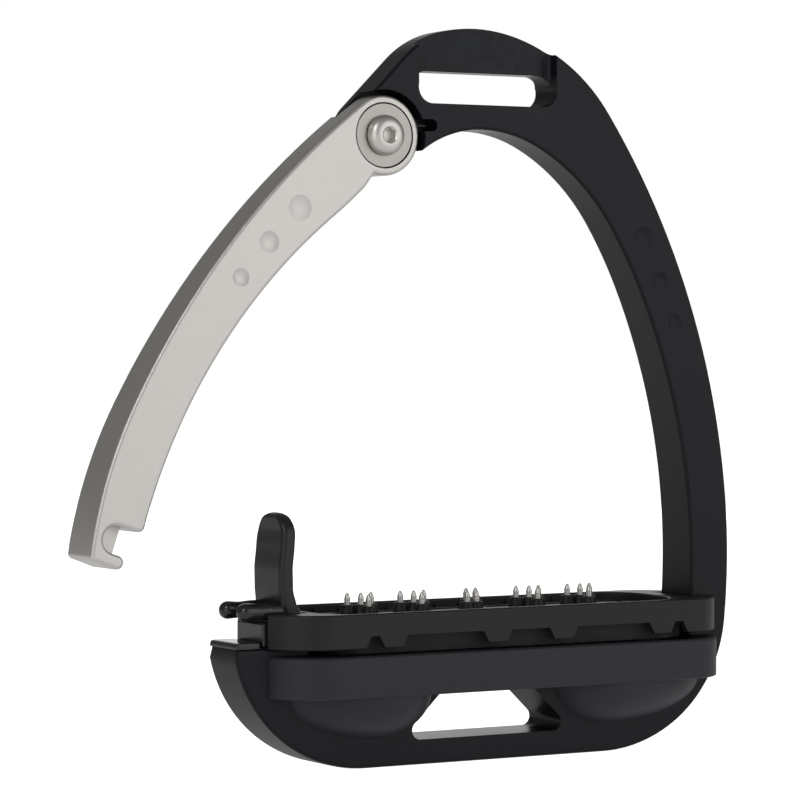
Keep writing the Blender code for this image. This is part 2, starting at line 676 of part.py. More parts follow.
def make_bumper():
    """The glossy pad on the frame's short end, where the closed arm comes to rest."""
    round_end = circle_arc((BUMPER_X[0] + 0.6, SEAT_Z + 0.9), 0.6, 180.0, 90.0)
    outline = round_end + [(BUMPER_X[1], SEAT_Z + 1.5), (BUMPER_X[1], SEAT_Z + GAP), (BUMPER_X[0], SEAT_Z + GAP)]
    pad = side_plate("arm_bumper", outline[::-1], -6.6, 6.6, "gloss")
    smooth(pad)


# ---------------------------------------------------------------- tread

def tread_plan(inset):
    return rounded_rectangle(TREAD_X[0] + inset, TREAD_X[1] - inset, -TREAD_HALF + inset,
                             TREAD_HALF - inset, CORNER_RADIUS - inset, END_RADIUS - inset)


def notch_outline(x0, x1):
    foot = TREAD_Z[0] - 2.0
    run = NOTCH_SLOPE * (NOTCH_TOP_Z - foot) / (NOTCH_TOP_Z - TREAD_Z[0])
    drop = run - NOTCH_SLOPE
    left = TREAD_CENTRE_X + x0
    right = TREAD_CENTRE_X + x1
    return [(left - drop, foot), (right + drop, foot), (right - NOTCH_SLOPE, NOTCH_TOP_Z),
            (left + NOTCH_SLOPE, NOTCH_TOP_Z)]


def branch_room(name, z0, z1):
    half = BASE_HALF_THICKNESS + GAP
    return box(name, (BRANCH_GAP_X, 90.0), (-half, half), (z0, z1), "plastic", True)


def make_tread_body():
    body = top_plate("tread_body", tread_plan(0.0), *TREAD_Z)
    well_outline = rounded_rectangle(*WELL_X, -TREAD_HALF + TREAD_WALL, TREAD_HALF - TREAD_WALL,
                                     CORNER_RADIUS - TREAD_WALL, 6.0)
    cut(body, top_plate("tread_well", well_outline, TREAD_FLOOR[1], 40.0, is_cutter=True))
    cut(body, top_plate("tread_underside", tread_plan(TREAD_WALL), 20.0, TREAD_FLOOR[0], is_cutter=True))
    for i, (x0, x1) in enumerate(NOTCHES):
        cut(body, side_plate(f"skirt_notch_{i}", notch_outline(x0, x1), -30.0, 30.0, is_cutter=True))
    cut(body, branch_room("tread_branch_room", 20.0, 40.0))
    cut(body, box("rear_gap", REAR_GAP[0], (13.2, 20.0), (20.0, REAR_GAP[1]), "plastic", True))
    lever_room = (-LEVER_ROOM_HALF, LEVER_ROOM_HALF)
    cut(body, box("lever_room", (-64.0, -48.2), lever_room, (20.0, 40.0), "plastic", True))
    for i, spot in enumerate(SCREW_SPOTS):
        cut(body, hole_along_z(f"body_screw_hole_{i}", spot, 2.0 + GAP, 30.0, 40.0))
    apply_modifiers(body)
    tidy_mesh(body)
    smooth(body)


def make_tread_core():
    """The rubber cushion between the platform and the tread, seen through the notches."""
    outline = rounded_rectangle(-44.5, 55.0, -13.6, 13.6, 9.0)
    core = top_plate("tread_cushion", outline, PLATFORM_Z[1] + GAP, TREAD_FLOOR[0] - GAP, "rubber")
    for i, spot in enumerate(SCREW_SPOTS):
        cut(core, hole_along_z(f"core_screw_hole_{i}", spot, 2.0 + GAP, 20.0, 40.0))
    apply_modifiers(core)
    tidy_mesh(core)
    smooth(core)


def stud_places():
    places = []
    for x in STUD_CLUSTERS:
        for k, y in ((-1, 1.9), (0, 1.1), (1, 1.9)):
            places.append((x + k * STUD_PITCH, y))
        places.append((x - 0.9, -4.2))
    return places + list(MIDDLE_STUDS)


def make_stud_plate():
    z0 = TREAD_FLOOR[1] + GAP
    outline = rounded_rectangle(-43.5, 50.0, -GRID_HALF, GRID_HALF, 5.0)
    plate = top_plate("stud_plate", outline, z0, z0 + 0.8, "steel")
    for i, spot in enumerate(SCREW_SPOTS):
        cut(plate, hole_along_z(f"plate_screw_hole_{i}", spot, 3.5 + GAP, 30.0, 40.0))
    apply_modifiers(plate)
    tidy_mesh(plate)
    smooth(plate)


def make_grid():
    """The moulded grid over the stud plate: two rails, cross ribs and a boss for each stud."""
    z0 = TREAD_FLOOR[1] + GAP + 0.8 + GAP
    z1 = GRID_TOP
    outline = rounded_rectangle(-43.5, 50.0, -GRID_HALF, GRID_HALF, 5.0)
    grid = top_plate("tread_grid", outline, z0, z1)
    cells = [(-33.2, -23.6), (-22.2, -8.6), (-7.2, 7.0), (8.4, 22.8), (24.2, 38.4)]
    for i, (x0, x1) in enumerate(cells):
        for side in (-1, 1):
            y0, y1 = sorted((side * 6.4, side * 10.2))
            cut(grid, box(f"grid_cell_{i}_{side}", (x0, x1), (y0, y1), (30.0, 40.0), "plastic", True))
    for i, spot in enumerate(SCREW_SPOTS):
        cut(grid, hole_along_z(f"grid_screw_room_{i}", spot, 3.6 + GAP, 30.0, 40.0))
    for i, spot in enumerate(stud_places()):
        boss = boss_cone(f"stud_boss_{i}", spot, z1)
        join(grid, boss)
    for i, spot in enumerate(stud_places()):
        cut(grid, hole_along_z(f"stud_hole_{i}", spot, STUD_RADIUS + 0.3, 30.0, 42.0, 10))
    apply_modifiers(grid)
    tidy_mesh(grid)
    smooth(grid)


def boss_cone(name, spot, z):
    mesh = bpy.data.meshes.new(name)
    bm = bmesh.new()
    bmesh.ops.create_cone(bm, cap_ends=True, segments=10, radius1=1.9 * MM, radius2=1.45 * MM, depth=3.1 * MM)
    bmesh.ops.translate(bm, verts=bm.verts, vec=Vector((spot[0], spot[1], z + 0.95)) * MM)
    bm.to_mesh(mesh)
    bm.free()
    return mesh_object(name, mesh, "plastic", True)


def make_studs():
    """Pointed steel studs: one turned shape, placed once for each stud."""
    base = TREAD_FLOOR[1] + GAP + 0.8 + GAP
    length = STUD_TIP_Z - base
    profile = [(0.0, length), (STUD_RADIUS * 0.42, length - 0.25), (STUD_RADIUS * 0.8, length - 0.7),
               (STUD_RADIUS, length - 1.35), (STUD_RADIUS, 0.0), (0.0, 0.0)]
    for i, (x, y) in enumerate(stud_places()):
        stud = turned(f"tread_stud_{i + 1:02d}", profile, "steel", 10)
        stud.location = Vector((x, y, base)) * MM
        smooth(stud, 50.0)


def make_tread_screws():
    """Four countersunk screws that hold the tread down to the platform."""
    profile = [(0.0, SCREW_LENGTH), (3.5, SCREW_LENGTH), (3.5, SCREW_LENGTH - 0.5), (2.0, SCREW_LENGTH - 1.6),
               (2.0, 0.0), (0.0, 0.0)]
    for i, (x, y) in enumerate(SCREW_SPOTS):
        screw = turned(f"tread_screw_{i + 1}", profile, "steel", 24)
        screw.location = Vector((x, y, PLATFORM_Z[1] - 5.0)) * MM
        place = (x, y)
        cut(screw, hex_hole(f"screw_socket_{i}", place))
        apply_modifiers_in_place(screw)
        smooth(screw, 30.0)


def hex_hole(name, spot):
    top = PLATFORM_Z[1] - 5.0 + SCREW_LENGTH
    mesh = bpy.data.meshes.new(name)
    bm = bmesh.new()
    bmesh.ops.create_cone(bm, cap_ends=True, segments=6, radius1=1.25 * MM, radius2=1.25 * MM, depth=4.0 * MM)
    bmesh.ops.translate(bm, verts=bm.verts, vec=Vector((spot[0], spot[1], top)) * MM)
    bm.to_mesh(mesh)
    bm.free()
    return mesh_object(name, mesh, "steel", True)


def apply_modifiers_in_place(obj):
    """Applies the modifiers and keeps the object where it stands."""
    place = obj.location.copy()
    apply_modifiers(obj)
    obj.data.transform(Matrix.Translation(-place))
    obj.location = place


def main():
    make_frame()
    make_release_arm()
    make_hinge()
    make_arm_spring()
    make_lever()
    make_latch_block()
    make_bumper()
    make_tread_body()
    make_tread_core()
    make_stud_plate()
    make_grid()
    make_studs()
    make_tread_screws()


main()
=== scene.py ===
"""Looks for the safety stirrup iron: a coated frame, a silver release arm, a thumb latch and a studded tread.

Lengths in the code are in millimetres until a mesh is made. +X points to the fixed branch, -Y is the
front, and the middle of the flat sole is the origin.
"""
import math

import bmesh
import bpy
from mathutils import Matrix, Vector


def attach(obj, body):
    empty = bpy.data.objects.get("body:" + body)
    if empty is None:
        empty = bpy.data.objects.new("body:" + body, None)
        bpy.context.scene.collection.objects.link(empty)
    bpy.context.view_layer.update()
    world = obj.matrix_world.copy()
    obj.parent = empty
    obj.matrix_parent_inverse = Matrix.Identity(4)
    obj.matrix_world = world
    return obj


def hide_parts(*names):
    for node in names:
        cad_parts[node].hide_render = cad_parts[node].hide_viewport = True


bl_info = {
    "name": "Safety Stirrup Iron",
    "version": (1, 0, 0),
    "blender": (4, 5, 0),
    "location": "View3D > Sidebar > Stirrup",
    "description": "Builds the visible surfaces and finishes of a safety stirrup iron round its CAD frame",
    "category": "Object",
}

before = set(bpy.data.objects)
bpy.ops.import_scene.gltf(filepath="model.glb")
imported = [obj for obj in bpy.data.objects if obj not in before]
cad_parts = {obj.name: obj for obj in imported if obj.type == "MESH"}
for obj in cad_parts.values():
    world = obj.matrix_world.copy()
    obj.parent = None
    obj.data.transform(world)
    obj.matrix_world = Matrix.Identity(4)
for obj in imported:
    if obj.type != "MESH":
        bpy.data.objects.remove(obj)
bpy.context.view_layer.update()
MM = 0.001
SAME_PLACE = 0.000002        # in metres, like the next
MERGE_DISTANCE = 0.00001
OUTSIDE_FRAME = 20.0         # how far cutting bodies reach past the frame, the tread's sides and its top
OUTSIDE_TREAD = 30.0
ABOVE_TREAD = 40.0

# Frame outline: arcs as (radius, degrees), starting at the sole and running up the fixed branch
SOLE_HALF = 33.2
OUTER_ARCS = ((38.7, 32.0), (33.6, 51.6), (160.0, 12.0), (187.9, 29.5))
END_ARCS = ((36.0, 32.0), (33.1, 51.6))   # the outline on the latch side, up to the seat
CROWN_RADIUS = 44.6
CROWN_TOP = 173.3
INNER_FOOT = (58.2, 27.0)
INNER_HEADING = 83.5
INNER_ARCS = ((158.0, 31.8), (113.0, 8.6), (52.0, 29.6))
ARCH_TOP = 149.2
ARCH_RADIUS_RIGHT = 35.6
ARCH_RADIUS_LEFT = 28.0
SEAT_Z = 29.0
SEAT_X = -66.4
LATCH_WALL_X = -48.0
FRAME_HALF = (7.2, 0.0145)        # half the depth at the sole and how it shrinks with height
WINDOW_BOTTOM = (5.9, 24.0)       # height and half width
WINDOW_TOP = (17.2, 12.2)
WINDOW_CORNER = 2.2

# Strap slot and hinge
SLOT_CENTRE = (1.7, 158.9)
SLOT_LENGTH = 38.6
SLOT_HEIGHT = 7.7
BAR_FRONT_Y = -1.5
BAR_BACK_Y = 4.0
BAR_X = (-17.5, 20.9)
PIVOT = (-26.6, 147.2)
EYE_RADIUS = 9.4
HINGE_RECESS_RADIUS = 10.7
LUG_FRONT_Y = 2.2
EYE_BACK_Y = 1.1
SPRING_SLOT_X = (8.0, -12.6)      # from the pivot, and its end on the frame
SPRING_SLOT_Z = 149.85
SPRING_SLOT_RADIUS = 1.45
SPRING_SLOT_FLOOR_Y = -0.6
NUT_ROOM = ((0.0, -1.0), (3.9, -1.0), (3.9, -3.9), (5.3, -3.9), (5.3, -10.0), (0.0, -10.0))
NUT = ((3.6, -2.0), (3.6, -4.0), (5.0, -4.0), (5.0, -4.65), (4.85, -4.8), (2.8, -4.8), (2.8, -2.0))
HEAD_RADIUS = 4.75
HEAD_FLAT = 2.35
HEAD_TOP = 7.1
HEX_SOCKET = (1.78, 5.0)          # radius to the corners and floor
WASHER = (2.8, 7.45, 3.3, 4.3)    # inner and outer radius, back and front
SEAL = (6.6, 7.45, 2.7, 3.1)

# Release arm, drawn closed and turned open
OPEN_ANGLE = 18.5
ARM_HALF = (7.0, 0.0178)
ARM_OUTER_FOOT = (-68.9, 31.9)
ARM_OUTER_HEADING = 99.6
ARM_OUTER_ARCS = ((109.0, 19.1), (206.0, 25.8))
ARM_INNER_FOOT = (-57.9, 40.4)
ARM_INNER_HEADING = 91.9
ARM_INNER_ARCS = ((141.0, 36.3), (-110.0, 7.2))
CATCH_CENTRE = (-64.0, 37.45)
CATCH_RADIUS = 3.15
LIP_X = -60.5
LIP_BOTTOM = 31.1
HOOK_CORNER = 1.6
HEEL_RADIUS = 1.2
HEEL_Z = 32.5
WELL_RADIUS = 7.75
WELL_FLOOR_Y = -0.1
SPRING_RADIUS = 4.1
LEG_WINDOW = (6.9, 10.4)
TONGUE = ((-67.2, -61.9), (-1.8, 1.8), (33.6, 41.2))
ARM_DIMPLES = ((-49.2, 130.1, 3.1), (-57.3, 122.1, 2.6), (-64.8, 113.9, 2.2))
BRANCH_DIMPLES = ((45.5, 124.4, 2.7), (50.6, 113.8, 2.3), (54.7, 103.8, 2.0))

# Platform and tread, seen from above
PLATFORM_Z = (17.4, 27.1)
PLATFORM_X = (-59.5, 65.4)
PLATFORM_HALF = 17.2
TREAD_Z = (28.8, 36.8)
TREAD_X = (-60.2, 65.0)
TREAD_HALF = 16.8
TREAD_CENTRE_X = 6.2
CORNER_RADIUS = 13.0
END_RADIUS = 15.0
WELL_X = (-46.6, 52.0)
WELL_END_RADIUS = 6.0
FLOOR_Z = (31.9, 32.7)
NOTCHES = ((-44.9, -39.7), (-35.2, -11.6), (-6.7, 6.7), (11.6, 35.2), (39.7, 44.9))
NOTCH_TOP = 31.6
NOTCH_SLOPE = 1.5
GUSSET_X = (-41.2, 46.0)
GUSSET_HALF = 0.45
BRANCH_ROOM = ((57.2, 90.0), (-7.5, 7.5))
REAR_GAP = ((18.5, 40.5), (13.2, 20.0), 34.4)
LEVER_ROOM = ((-64.0, -48.2), (-7.3, 7.3))
STUD_CLUSTERS = (-29.9, -15.5, 16.8, 31.5)
CLUSTER = ((-3.2, 1.9), (0.0, 1.1), (3.2, 1.9), (-0.9, -4.2))
MIDDLE_STUDS = ((-0.5, 1.9), (2.1, 1.9), (-3.9, -4.2), (-1.3, -4.2))
GRID_X = (-43.5, 50.0)
GRID_CORNER = 5.0
CELLS = ((-33.2, -23.6), (-22.2, -8.6), (-7.2, 7.0), (8.4, 22.8), (24.2, 38.4))
CELL_ROWS = ((-10.2, -6.4), (6.4, 10.2))
BOSS = ((0, 2.5), (1.25, 2.5), (1.45, 2.3), (1.9, -0.3), (1.9, -0.6), (0, -0.6))
GRID_HALF = 11.6
GRID_Z = (34.1, 35.0)
SCREW_SPOTS = ((-38.6, -6.5), (-38.6, 6.5), (44.0, -6.5), (44.0, 6.5))
PODS = ((-30.0, 25.4, 16.0), (34.0, 16.0, 29.9))
POD_HALF_WIDTH = 16.6
POD_DEPTH = 11.7
SCREW_HOLE_RADIUS = 2.3
SCREW_HOLE_FLOOR = 21.1
SCREW_TOP = 34.7
SCREW_END = 22.1
SCREW_HEAD_RADIUS = 3.5

# Latch: the blade's sides are pairs of height and place
LEVER_PIN = (-55.4, 33.3)
BLADE_Z = (36.4, 59.8)
BLADE_HALF = 6.9
BLADE_CORNER = 6.2
BLADE_ROUNDING = 1.3
BLADE_LEFT = ((36.4, -54.4), (39.0, -55.2), (42.0, -55.5), (47.0, -55.6), (52.0, -55.1), (56.0, -54.7),
              (60.0, -54.8))
BLADE_RIGHT = ((36.4, -48.9), (37.2, -49.9), (38.6, -50.9), (42.0, -51.8), (47.0, -51.9), (52.0, -51.4),
               (56.0, -51.1), (60.0, -51.4))
NOSE_TIP_X = -65.5
NOSE_LENGTH = 11.0
NOSE_Y = 4.3
NOSE_Z = 37.3
NOSE_RADIUS = 2.1
HUB = ((-57.7, 34.2), (-53.1, 33.6), (-52.6, 35.4), (-49.4, 35.4), (-49.2, 36.8), (-52.5, 38.6),
       (-57.7, 38.6))
BUMPER_BOTTOM = 29.05
BUMPER_STATIONS = ((-67.0, 29.5, 6.1), (-66.95, 29.9, 6.4), (-66.7, 30.25, 6.6), (-66.3, 30.45, 6.7),
                   (-65.7, 30.5, 6.7), (-61.2, 30.5, 6.7), (-60.8, 30.4, 6.6), (-60.5, 30.1, 6.3))

# CAD pieces that keep their own mesh, and their finishes
KEPT = {"pivot_bush": "bronze", "thrust_washer": "bronze", "arm_spring": "spring", "lever_spring": "spring",
        "lever_pin": "gloss", "tread_cushion": "rubber", "stud_plate": "washer"}

# Camera, and lights as name, place, aim, size, the setting with their power and their share of it; in metres
CAMERA_PLACE = (-0.4440, -0.7229, 0.1019)
CAMERA_ANGLES = (88.869, 0.0, -30.4)
CAMERA_LENS = 160.27
CAMERA_SENSOR = 36.0
LIGHTS = (("key", (-0.75, -0.55, 0.75), (-0.03, 0.0, 0.09), 0.35, "key_power", 1.0),
          ("side", (-1.0, -0.75, 0.08), (-0.03, 0.0, 0.05), 0.9, "fill_power", 0.36),
          ("back", (0.62, 1.0, 0.2), (0.0, 0.0, 0.05), 0.8, "fill_power", 0.25),
          ("broad", (0.75, -1.25, 0.35), (0.0, 0.0, 0.09), 1.5, "fill_power", 1.0))


# ---------------------------------------------------------------- settings

def colour(name, description, default):
    """A colour setting."""
    return bpy.props.FloatVectorProperty(name=name, description=description, subtype="COLOR", size=3,
                                         default=default, min=0.0, max=1.0)


def number(name, description, default, low, high, subtype="NONE"):
    """A setting with a range."""
    return bpy.props.FloatProperty(name=name, description=description, default=default, min=low, max=high,
                                   subtype=subtype)


class IronFinish(bpy.types.PropertyGroup):
    """Colours and gloss of the surfaces"""
    coat_colour: colour("Coat", "Powder coat of the frame", (0.0034, 0.0044, 0.0068))
    # Painted light: the platform colour is a lighter copy of the frame's coat, standing for the extra light
    # the lower band and its swellings catch.
    platform_lit_colour: colour("Platform coat", "Lighter, drier coat of the platform band",
                            (0.0235, 0.0222, 0.0285))
    silver_colour: colour("Silver", "Blasted and anodised release arm", (0.60, 0.582, 0.555))
    steel_colour: colour("Steel", "Stainless steel of the screw and the studs", (0.66, 0.63, 0.59))
    nylon_colour: colour("Nylon", "Moulded tread and lever", (0.0135, 0.0133, 0.0155))
    coat_roughness: number("Coat roughness", "Roughness of the frame's coat", 0.34, 0.05, 1.0, "FACTOR")


class IronEdges(bpy.types.PropertyGroup):
    """Rounding of the edges"""
    frame_edge: number("Frame edge", "Edge radius of the frame, in mm", 0.75, 0.2, 1.5)
    arm_edge: number("Arm edge", "Edge radius of the release arm, in mm", 0.85, 0.2, 1.5)
    moulded_edge: number("Moulded edge", "Edge radius of the moulded pieces, in mm", 0.5, 0.1, 1.0)
    dimple_depth: number("Dimple depth", "Depth of the round dimples, in mm", 0.4, 0.1, 0.8)


class IronTread(bpy.types.PropertyGroup):
    """Tread details"""
    wall: number("Rim wall", "Thickness of the rim, in mm", 1.8, 1.0, 3.0)
    gusset_pitch: number("Gusset pitch", "Distance between the gussets of the rim, in mm", 6.7, 4.0, 12.0)
    stud_radius: number("Stud radius", "Radius of a stud, in mm", 0.75, 0.5, 1.2)
    stud_tip_z: number("Stud tip", "Height of the stud tips, in mm", 40.3, 38.0, 42.0)


class IronStage(bpy.types.PropertyGroup):
    """Floor, light and camera"""
    floor_colour: colour("Floor", "Plain pale floor", (0.90, 0.90, 0.90))
    floor_glow: number("Floor glow", "Light of the floor itself, which keeps it pale", 1.0, 0.0, 2.0)
    surround: number("Surround", "Light of the pale surroundings", 0.2, 0.0, 2.0)
    key_power: number("Key light", "Power of the small light over the front left, in watts", 2.2, 0.0, 100.0)
    fill_power: number("Broad light", "Power of the wide soft light at the front right, in watts",
                       8.0, 0.0, 100.0)


# ---------------------------------------------------------------- outlines

def arc_chain(start, heading, arcs):
    """Points along arcs that join smoothly: a radius turns left, a negative one turns right."""
    x, z = start
    turn = math.radians(heading)
    points = [(x, z)]
    for radius, degrees in arcs:
        angle = math.radians(degrees) * (1.0 if radius > 0 else -1.0)
        centre = (x - radius * math.sin(turn), z + radius * math.cos(turn))
        steps = arc_steps(abs(radius), abs(angle))
        for i in range(1, steps + 1):
            t = turn + angle * i / steps
            points.append((centre[0] + radius * math.sin(t), centre[1] - radius * math.cos(t)))
        turn += angle
        x, z = points[-1]
    return points


def arc_steps(radius, angle, tolerance=0.012):
    """How many straight steps keep an arc within the tolerance."""
    step = 2.0 * math.acos(1.0 - tolerance / max(radius, 4.0 * tolerance))
    return max(3, math.ceil(angle / step))


def circle_arc(centre, radius, first, last):
    steps = arc_steps(radius, abs(math.radians(last - first)), 0.006)
    points = []
    for i in range(steps + 1):
        t = math.radians(first + (last - first) * i / steps)
        points.append((centre[0] + radius * math.cos(t), centre[1] + radius * math.sin(t)))
    return points


def turned_about(points, centre, degrees):
    c = math.cos(math.radians(degrees))
    s = math.sin(math.radians(degrees))
    return [(centre[0] + (x - centre[0]) * c - (z - centre[1]) * s,
             centre[1] + (x - centre[0]) * s + (z - centre[1]) * c) for x, z in points]


def rounded_rectangle(x0, x1, y0, y1, radius, left=None):
    """The two corners at x0 take the radius left, where it is given."""
    left = radius if left is None else left
    corners = (((x1 - radius, y0 + radius), radius, -90), ((x1 - radius, y1 - radius), radius, 0),
               ((x0 + left, y1 - left), left, 90), ((x0 + left, y0 + left), left, 180))
    points = []
    for centre, size, first in corners:
        points += circle_arc(centre, size, first, first + 90)
    return points


def capsule(centre, length, height):
    half = (length - height) / 2
    points = circle_arc((centre[0] + half, centre[1]), height / 2, -90, 90)
    return points + circle_arc((centre[0] - half, centre[1]), height / 2, 90, 270)


def without_repeats(points, closest=0.02):
    """A closed outline without points that nearly coincide."""
    kept = []
    for p in points:
        if not kept or math.dist(p, kept[-1]) > closest:
            kept.append(p)
    while math.dist(kept[0], kept[-1]) <= closest:
        kept.pop()
    return kept


def inward_directions(points):
    """For each corner of a loop with material on its left, the offset that moves both its edges in by one."""
    count = len(points)
    result = []
    for i in range(count):
        before = Vector(points[i]) - Vector(points[i - 1])
        after = Vector(points[(i + 1) % count]) - Vector(points[i])
        first = Vector((-before.y, before.x)).normalized()
        second = Vector((-after.y, after.x)).normalized()
        middle = first + second
        if middle.length < 1e-6:
            middle = first
        middle.normalize()
        result.append(middle / max(0.45, middle.dot(first)))
    return result


# ---------------------------------------------------------------- solids

def of_kind(geometry, kind):
    return [g for g in geometry if isinstance(g, kind)]


def grow(bm, faces, index, rings):
    """Extrudes a cap once for each ring, and moves its corners to that ring's places."""
    for i, ring in enumerate(rings):
        made = bmesh.ops.extrude_face_region(bm, geom=faces)["geom"]
        if i:
            bmesh.ops.delete(bm, geom=faces, context="FACES_ONLY")
        faces = of_kind(made, bmesh.types.BMFace)
        for vert in of_kind(made, bmesh.types.BMVert):
            vert.co = ring[vert[index]]


def numbered_verts(bm, index, places):
    verts = [bm.verts.new(place) for place in places]
    for i, vert in enumerate(verts):
        vert[index] = i
    return verts


def edge_rings(fillet, steps, hold):
    """Insets and depths of the rings that round one edge, from the flat face to the side."""
    rings = [(fillet + hold, 0.0), (fillet, 0.0)]
    for k in range(1, steps + 1):
        angle = math.pi / 2 * k / steps
        rings.append((fillet * (1 - math.sin(angle)), fillet * (1 - math.cos(angle))))
    return rings


def plate(loops, low, high, fillet, upright=True, steps=4, hold=0.3):
    """A plate with rounded edges between the surfaces low and high, each a function of the outline's place.

    The first loop runs anticlockwise and any others, which are holes, run clockwise.
    An upright plate has its outline in X and Z; a lying one has it in X and Y.
    """
    loops = [without_repeats(loop) for loop in loops]
    corners = [Vector(p) for loop in loops for p in loop]
    inward = [d for loop in loops for d in inward_directions(loop)]
    low_fillet, high_fillet = fillet if isinstance(fillet, tuple) else (fillet, fillet)

    def ring(inset, depth, from_low):
        places = []
        for corner, direction in zip(corners, inward):
            u, v = corner + direction * inset
            w = low(u, v) + depth if from_low else high(u, v) - depth
            places.append((Vector((u, w, v)) if upright else Vector((u, v, w))) * MM)
        return places

    rings = [ring(inset, depth, True) for inset, depth in edge_rings(low_fillet, steps, hold)]
    rings += [ring(inset, depth, False) for inset, depth in reversed(edge_rings(high_fillet, steps, hold))]
    bm = bmesh.new()
    index = bm.verts.layers.int.new("corner")
    verts = numbered_verts(bm, index, rings[0])
    edges = []
    start = 0
    for loop in loops:
        part = verts[start:start + len(loop)]
        edges += [bm.edges.new((a, b)) for a, b in zip(part, part[1:] + part[:1])]
        start += len(loop)
    filled = bmesh.ops.triangle_fill(bm, use_beauty=True, edges=edges)["geom"]
    grow(bm, of_kind(filled, bmesh.types.BMFace), index, rings[1:])
    return finished_mesh(bm)


def slab(loops, low, high, fillet, steps=4, hold=0.3):
    """A lying plate between two heights."""
    return plate(loops, lambda u, v: low, lambda u, v: high, fillet, False, steps, hold)


def loft(sections):
    """A closed solid through sections, which all have the same number of points."""
    bm = bmesh.new()
    index = bm.verts.layers.int.new("corner")
    rings = [[Vector(p) * MM for p in section] for section in sections]
    verts = numbered_verts(bm, index, rings[0])
    cap = bm.faces.new(verts)
    grow(bm, [cap], index, rings[1:])
    return finished_mesh(bm)


def spun(profile, segments=96):
    """A turned solid about Z from pairs of radius and height; it closes on the axis or on itself."""
    bm = bmesh.new()
    verts = [bm.verts.new((r * MM, 0.0, z * MM)) for r, z in profile]
    pairs = list(zip(verts, verts[1:]))
    if profile[0][0] > 0:
        pairs.append((verts[-1], verts[0]))
    edges = [bm.edges.new(pair) for pair in pairs]
    bmesh.ops.spin(bm, geom=verts + edges, cent=(0, 0, 0), axis=(0, 0, 1), angle=2 * math.pi,
                   steps=segments, use_merge=True)
    bmesh.ops.remove_doubles(bm, verts=bm.verts, dist=SAME_PLACE)
    return finished_mesh(bm)


def rod(radius, low, high, segments):
    return spun([(0, high), (radius, high), (radius, low), (0, low)], segments)


def rounded_corner(r, z, fillet, quarter, steps=4):
    """Points that round a convex corner of a turned profile.

    The quarter is 0 for the outside at the top, then clockwise.
    """
    signs = ((-1, -1), (-1, 1), (1, 1), (1, -1))[quarter]
    centre = (r + signs[0] * fillet, z + signs[1] * fillet)
    first = (90, 0, -90, -180)[quarter]
    points = []
    for i in range(steps + 1):
        angle = math.radians(first - 90 * i / steps)
        points.append((centre[0] + fillet * math.cos(angle), centre[1] + fillet * math.sin(angle)))
    return points


def round_ring(inner, outer, bottom, top, fillet=0.15):
    """Profile of a washer with rounded edges."""
    return (rounded_corner(outer, top, fillet, 0) + rounded_corner(outer, bottom, fillet, 1)
            + rounded_corner(inner, bottom, fillet, 2) + rounded_corner(inner, top, fillet, 3))


def finished_mesh(bm):
    bmesh.ops.recalc_face_normals(bm, faces=bm.faces)
    mesh = bpy.data.meshes.new("shape")
    bm.to_mesh(mesh)
    bm.free()
    return mesh


def facing_front(mesh, x, y, z):
    """Stands a turned solid with its top towards the front."""
    mesh.transform(Matrix.Translation(Vector((x, y, z)) * MM) @ Matrix.Rotation(math.pi / 2, 4, "X"))
    return mesh


def moved(mesh, x, y, z):
    mesh.transform(Matrix.Translation(Vector((x, y, z)) * MM))
    return mesh


def bar_along_y(centre, radius, y0, y1, segments=96):
    mesh = rod(radius, y0, y1, segments)
    place = Matrix.Translation(Vector((centre[0], 0, centre[1])) * MM)
    mesh.transform(place @ Matrix.Rotation(-math.pi / 2, 4, "X"))
    return mesh


def box_between(x, y, z):
    bm = bmesh.new()
    bmesh.ops.create_cube(bm, size=1.0)
    bmesh.ops.scale(bm, verts=bm.verts, vec=Vector((x[1] - x[0], y[1] - y[0], z[1] - z[0])) * MM)
    bmesh.ops.translate(bm, verts=bm.verts, vec=Vector((x[0] + x[1], y[0] + y[1], z[0] + z[1])) * 0.5 * MM)
    return bm


def round_edges(bm, edges, radius, steps):
    bmesh.ops.bevel(bm, geom=edges, offset=radius * MM, offset_type="OFFSET", affect="EDGES", segments=steps,
                    profile=0.5, material=-1, clamp_overlap=False)


def block(x, y, z, fillet=0.0, steps=3):
    bm = box_between(x, y, z)
    if fillet:
        round_edges(bm, bm.edges[:], fillet, steps)
    return finished_mesh(bm)


def new_object(name, data):
    obj = bpy.data.objects.new(name, data)
    bpy.context.scene.collection.objects.link(obj)
    return obj


class Shape:
    """A mesh that is cut and joined before it becomes a piece, in mm, which is more exact."""

    def __init__(self, mesh):
        mesh.transform(Matrix.Scale(1 / MM, 4))
        self.object = new_object("shape", mesh)

    def combine(self, mesh, operation):
        mesh.transform(Matrix.Scale(1 / MM, 4))
        tool = new_object("tool", mesh)
        modifier = self.object.modifiers.new("step", "BOOLEAN")
        modifier.operation = operation
        modifier.object = tool
        modifier.solver = "EXACT"
        bpy.context.view_layer.update()
        evaluated = self.object.evaluated_get(bpy.context.evaluated_depsgraph_get())
        result = bpy.data.meshes.new_from_object(evaluated)
        if not result.polygons:
            raise RuntimeError(f"the {operation.lower()} left nothing")
        self.object.modifiers.clear()
        self.object.data = result
        bpy.data.objects.remove(tool)
        return self

    def cut(self, mesh):
        return self.combine(mesh, "DIFFERENCE")

    def join(self, mesh):
        return self.combine(mesh, "UNION")

    def done(self):
        mesh = self.object.data
        mesh.transform(Matrix.Scale(MM, 4))
        bpy.data.objects.remove(self.object)
        bm = bmesh.new()
        bm.from_mesh(mesh)
        bmesh.ops.remove_doubles(bm, verts=bm.verts, dist=MERGE_DISTANCE)
        bmesh.ops.dissolve_degenerate(bm, edges=bm.edges, dist=SAME_PLACE)
        bmesh.ops.holes_fill(bm, edges=[edge for edge in bm.edges if edge.is_boundary], sides=0)
        bm.to_mesh(mesh)
        bm.free()
        return mesh


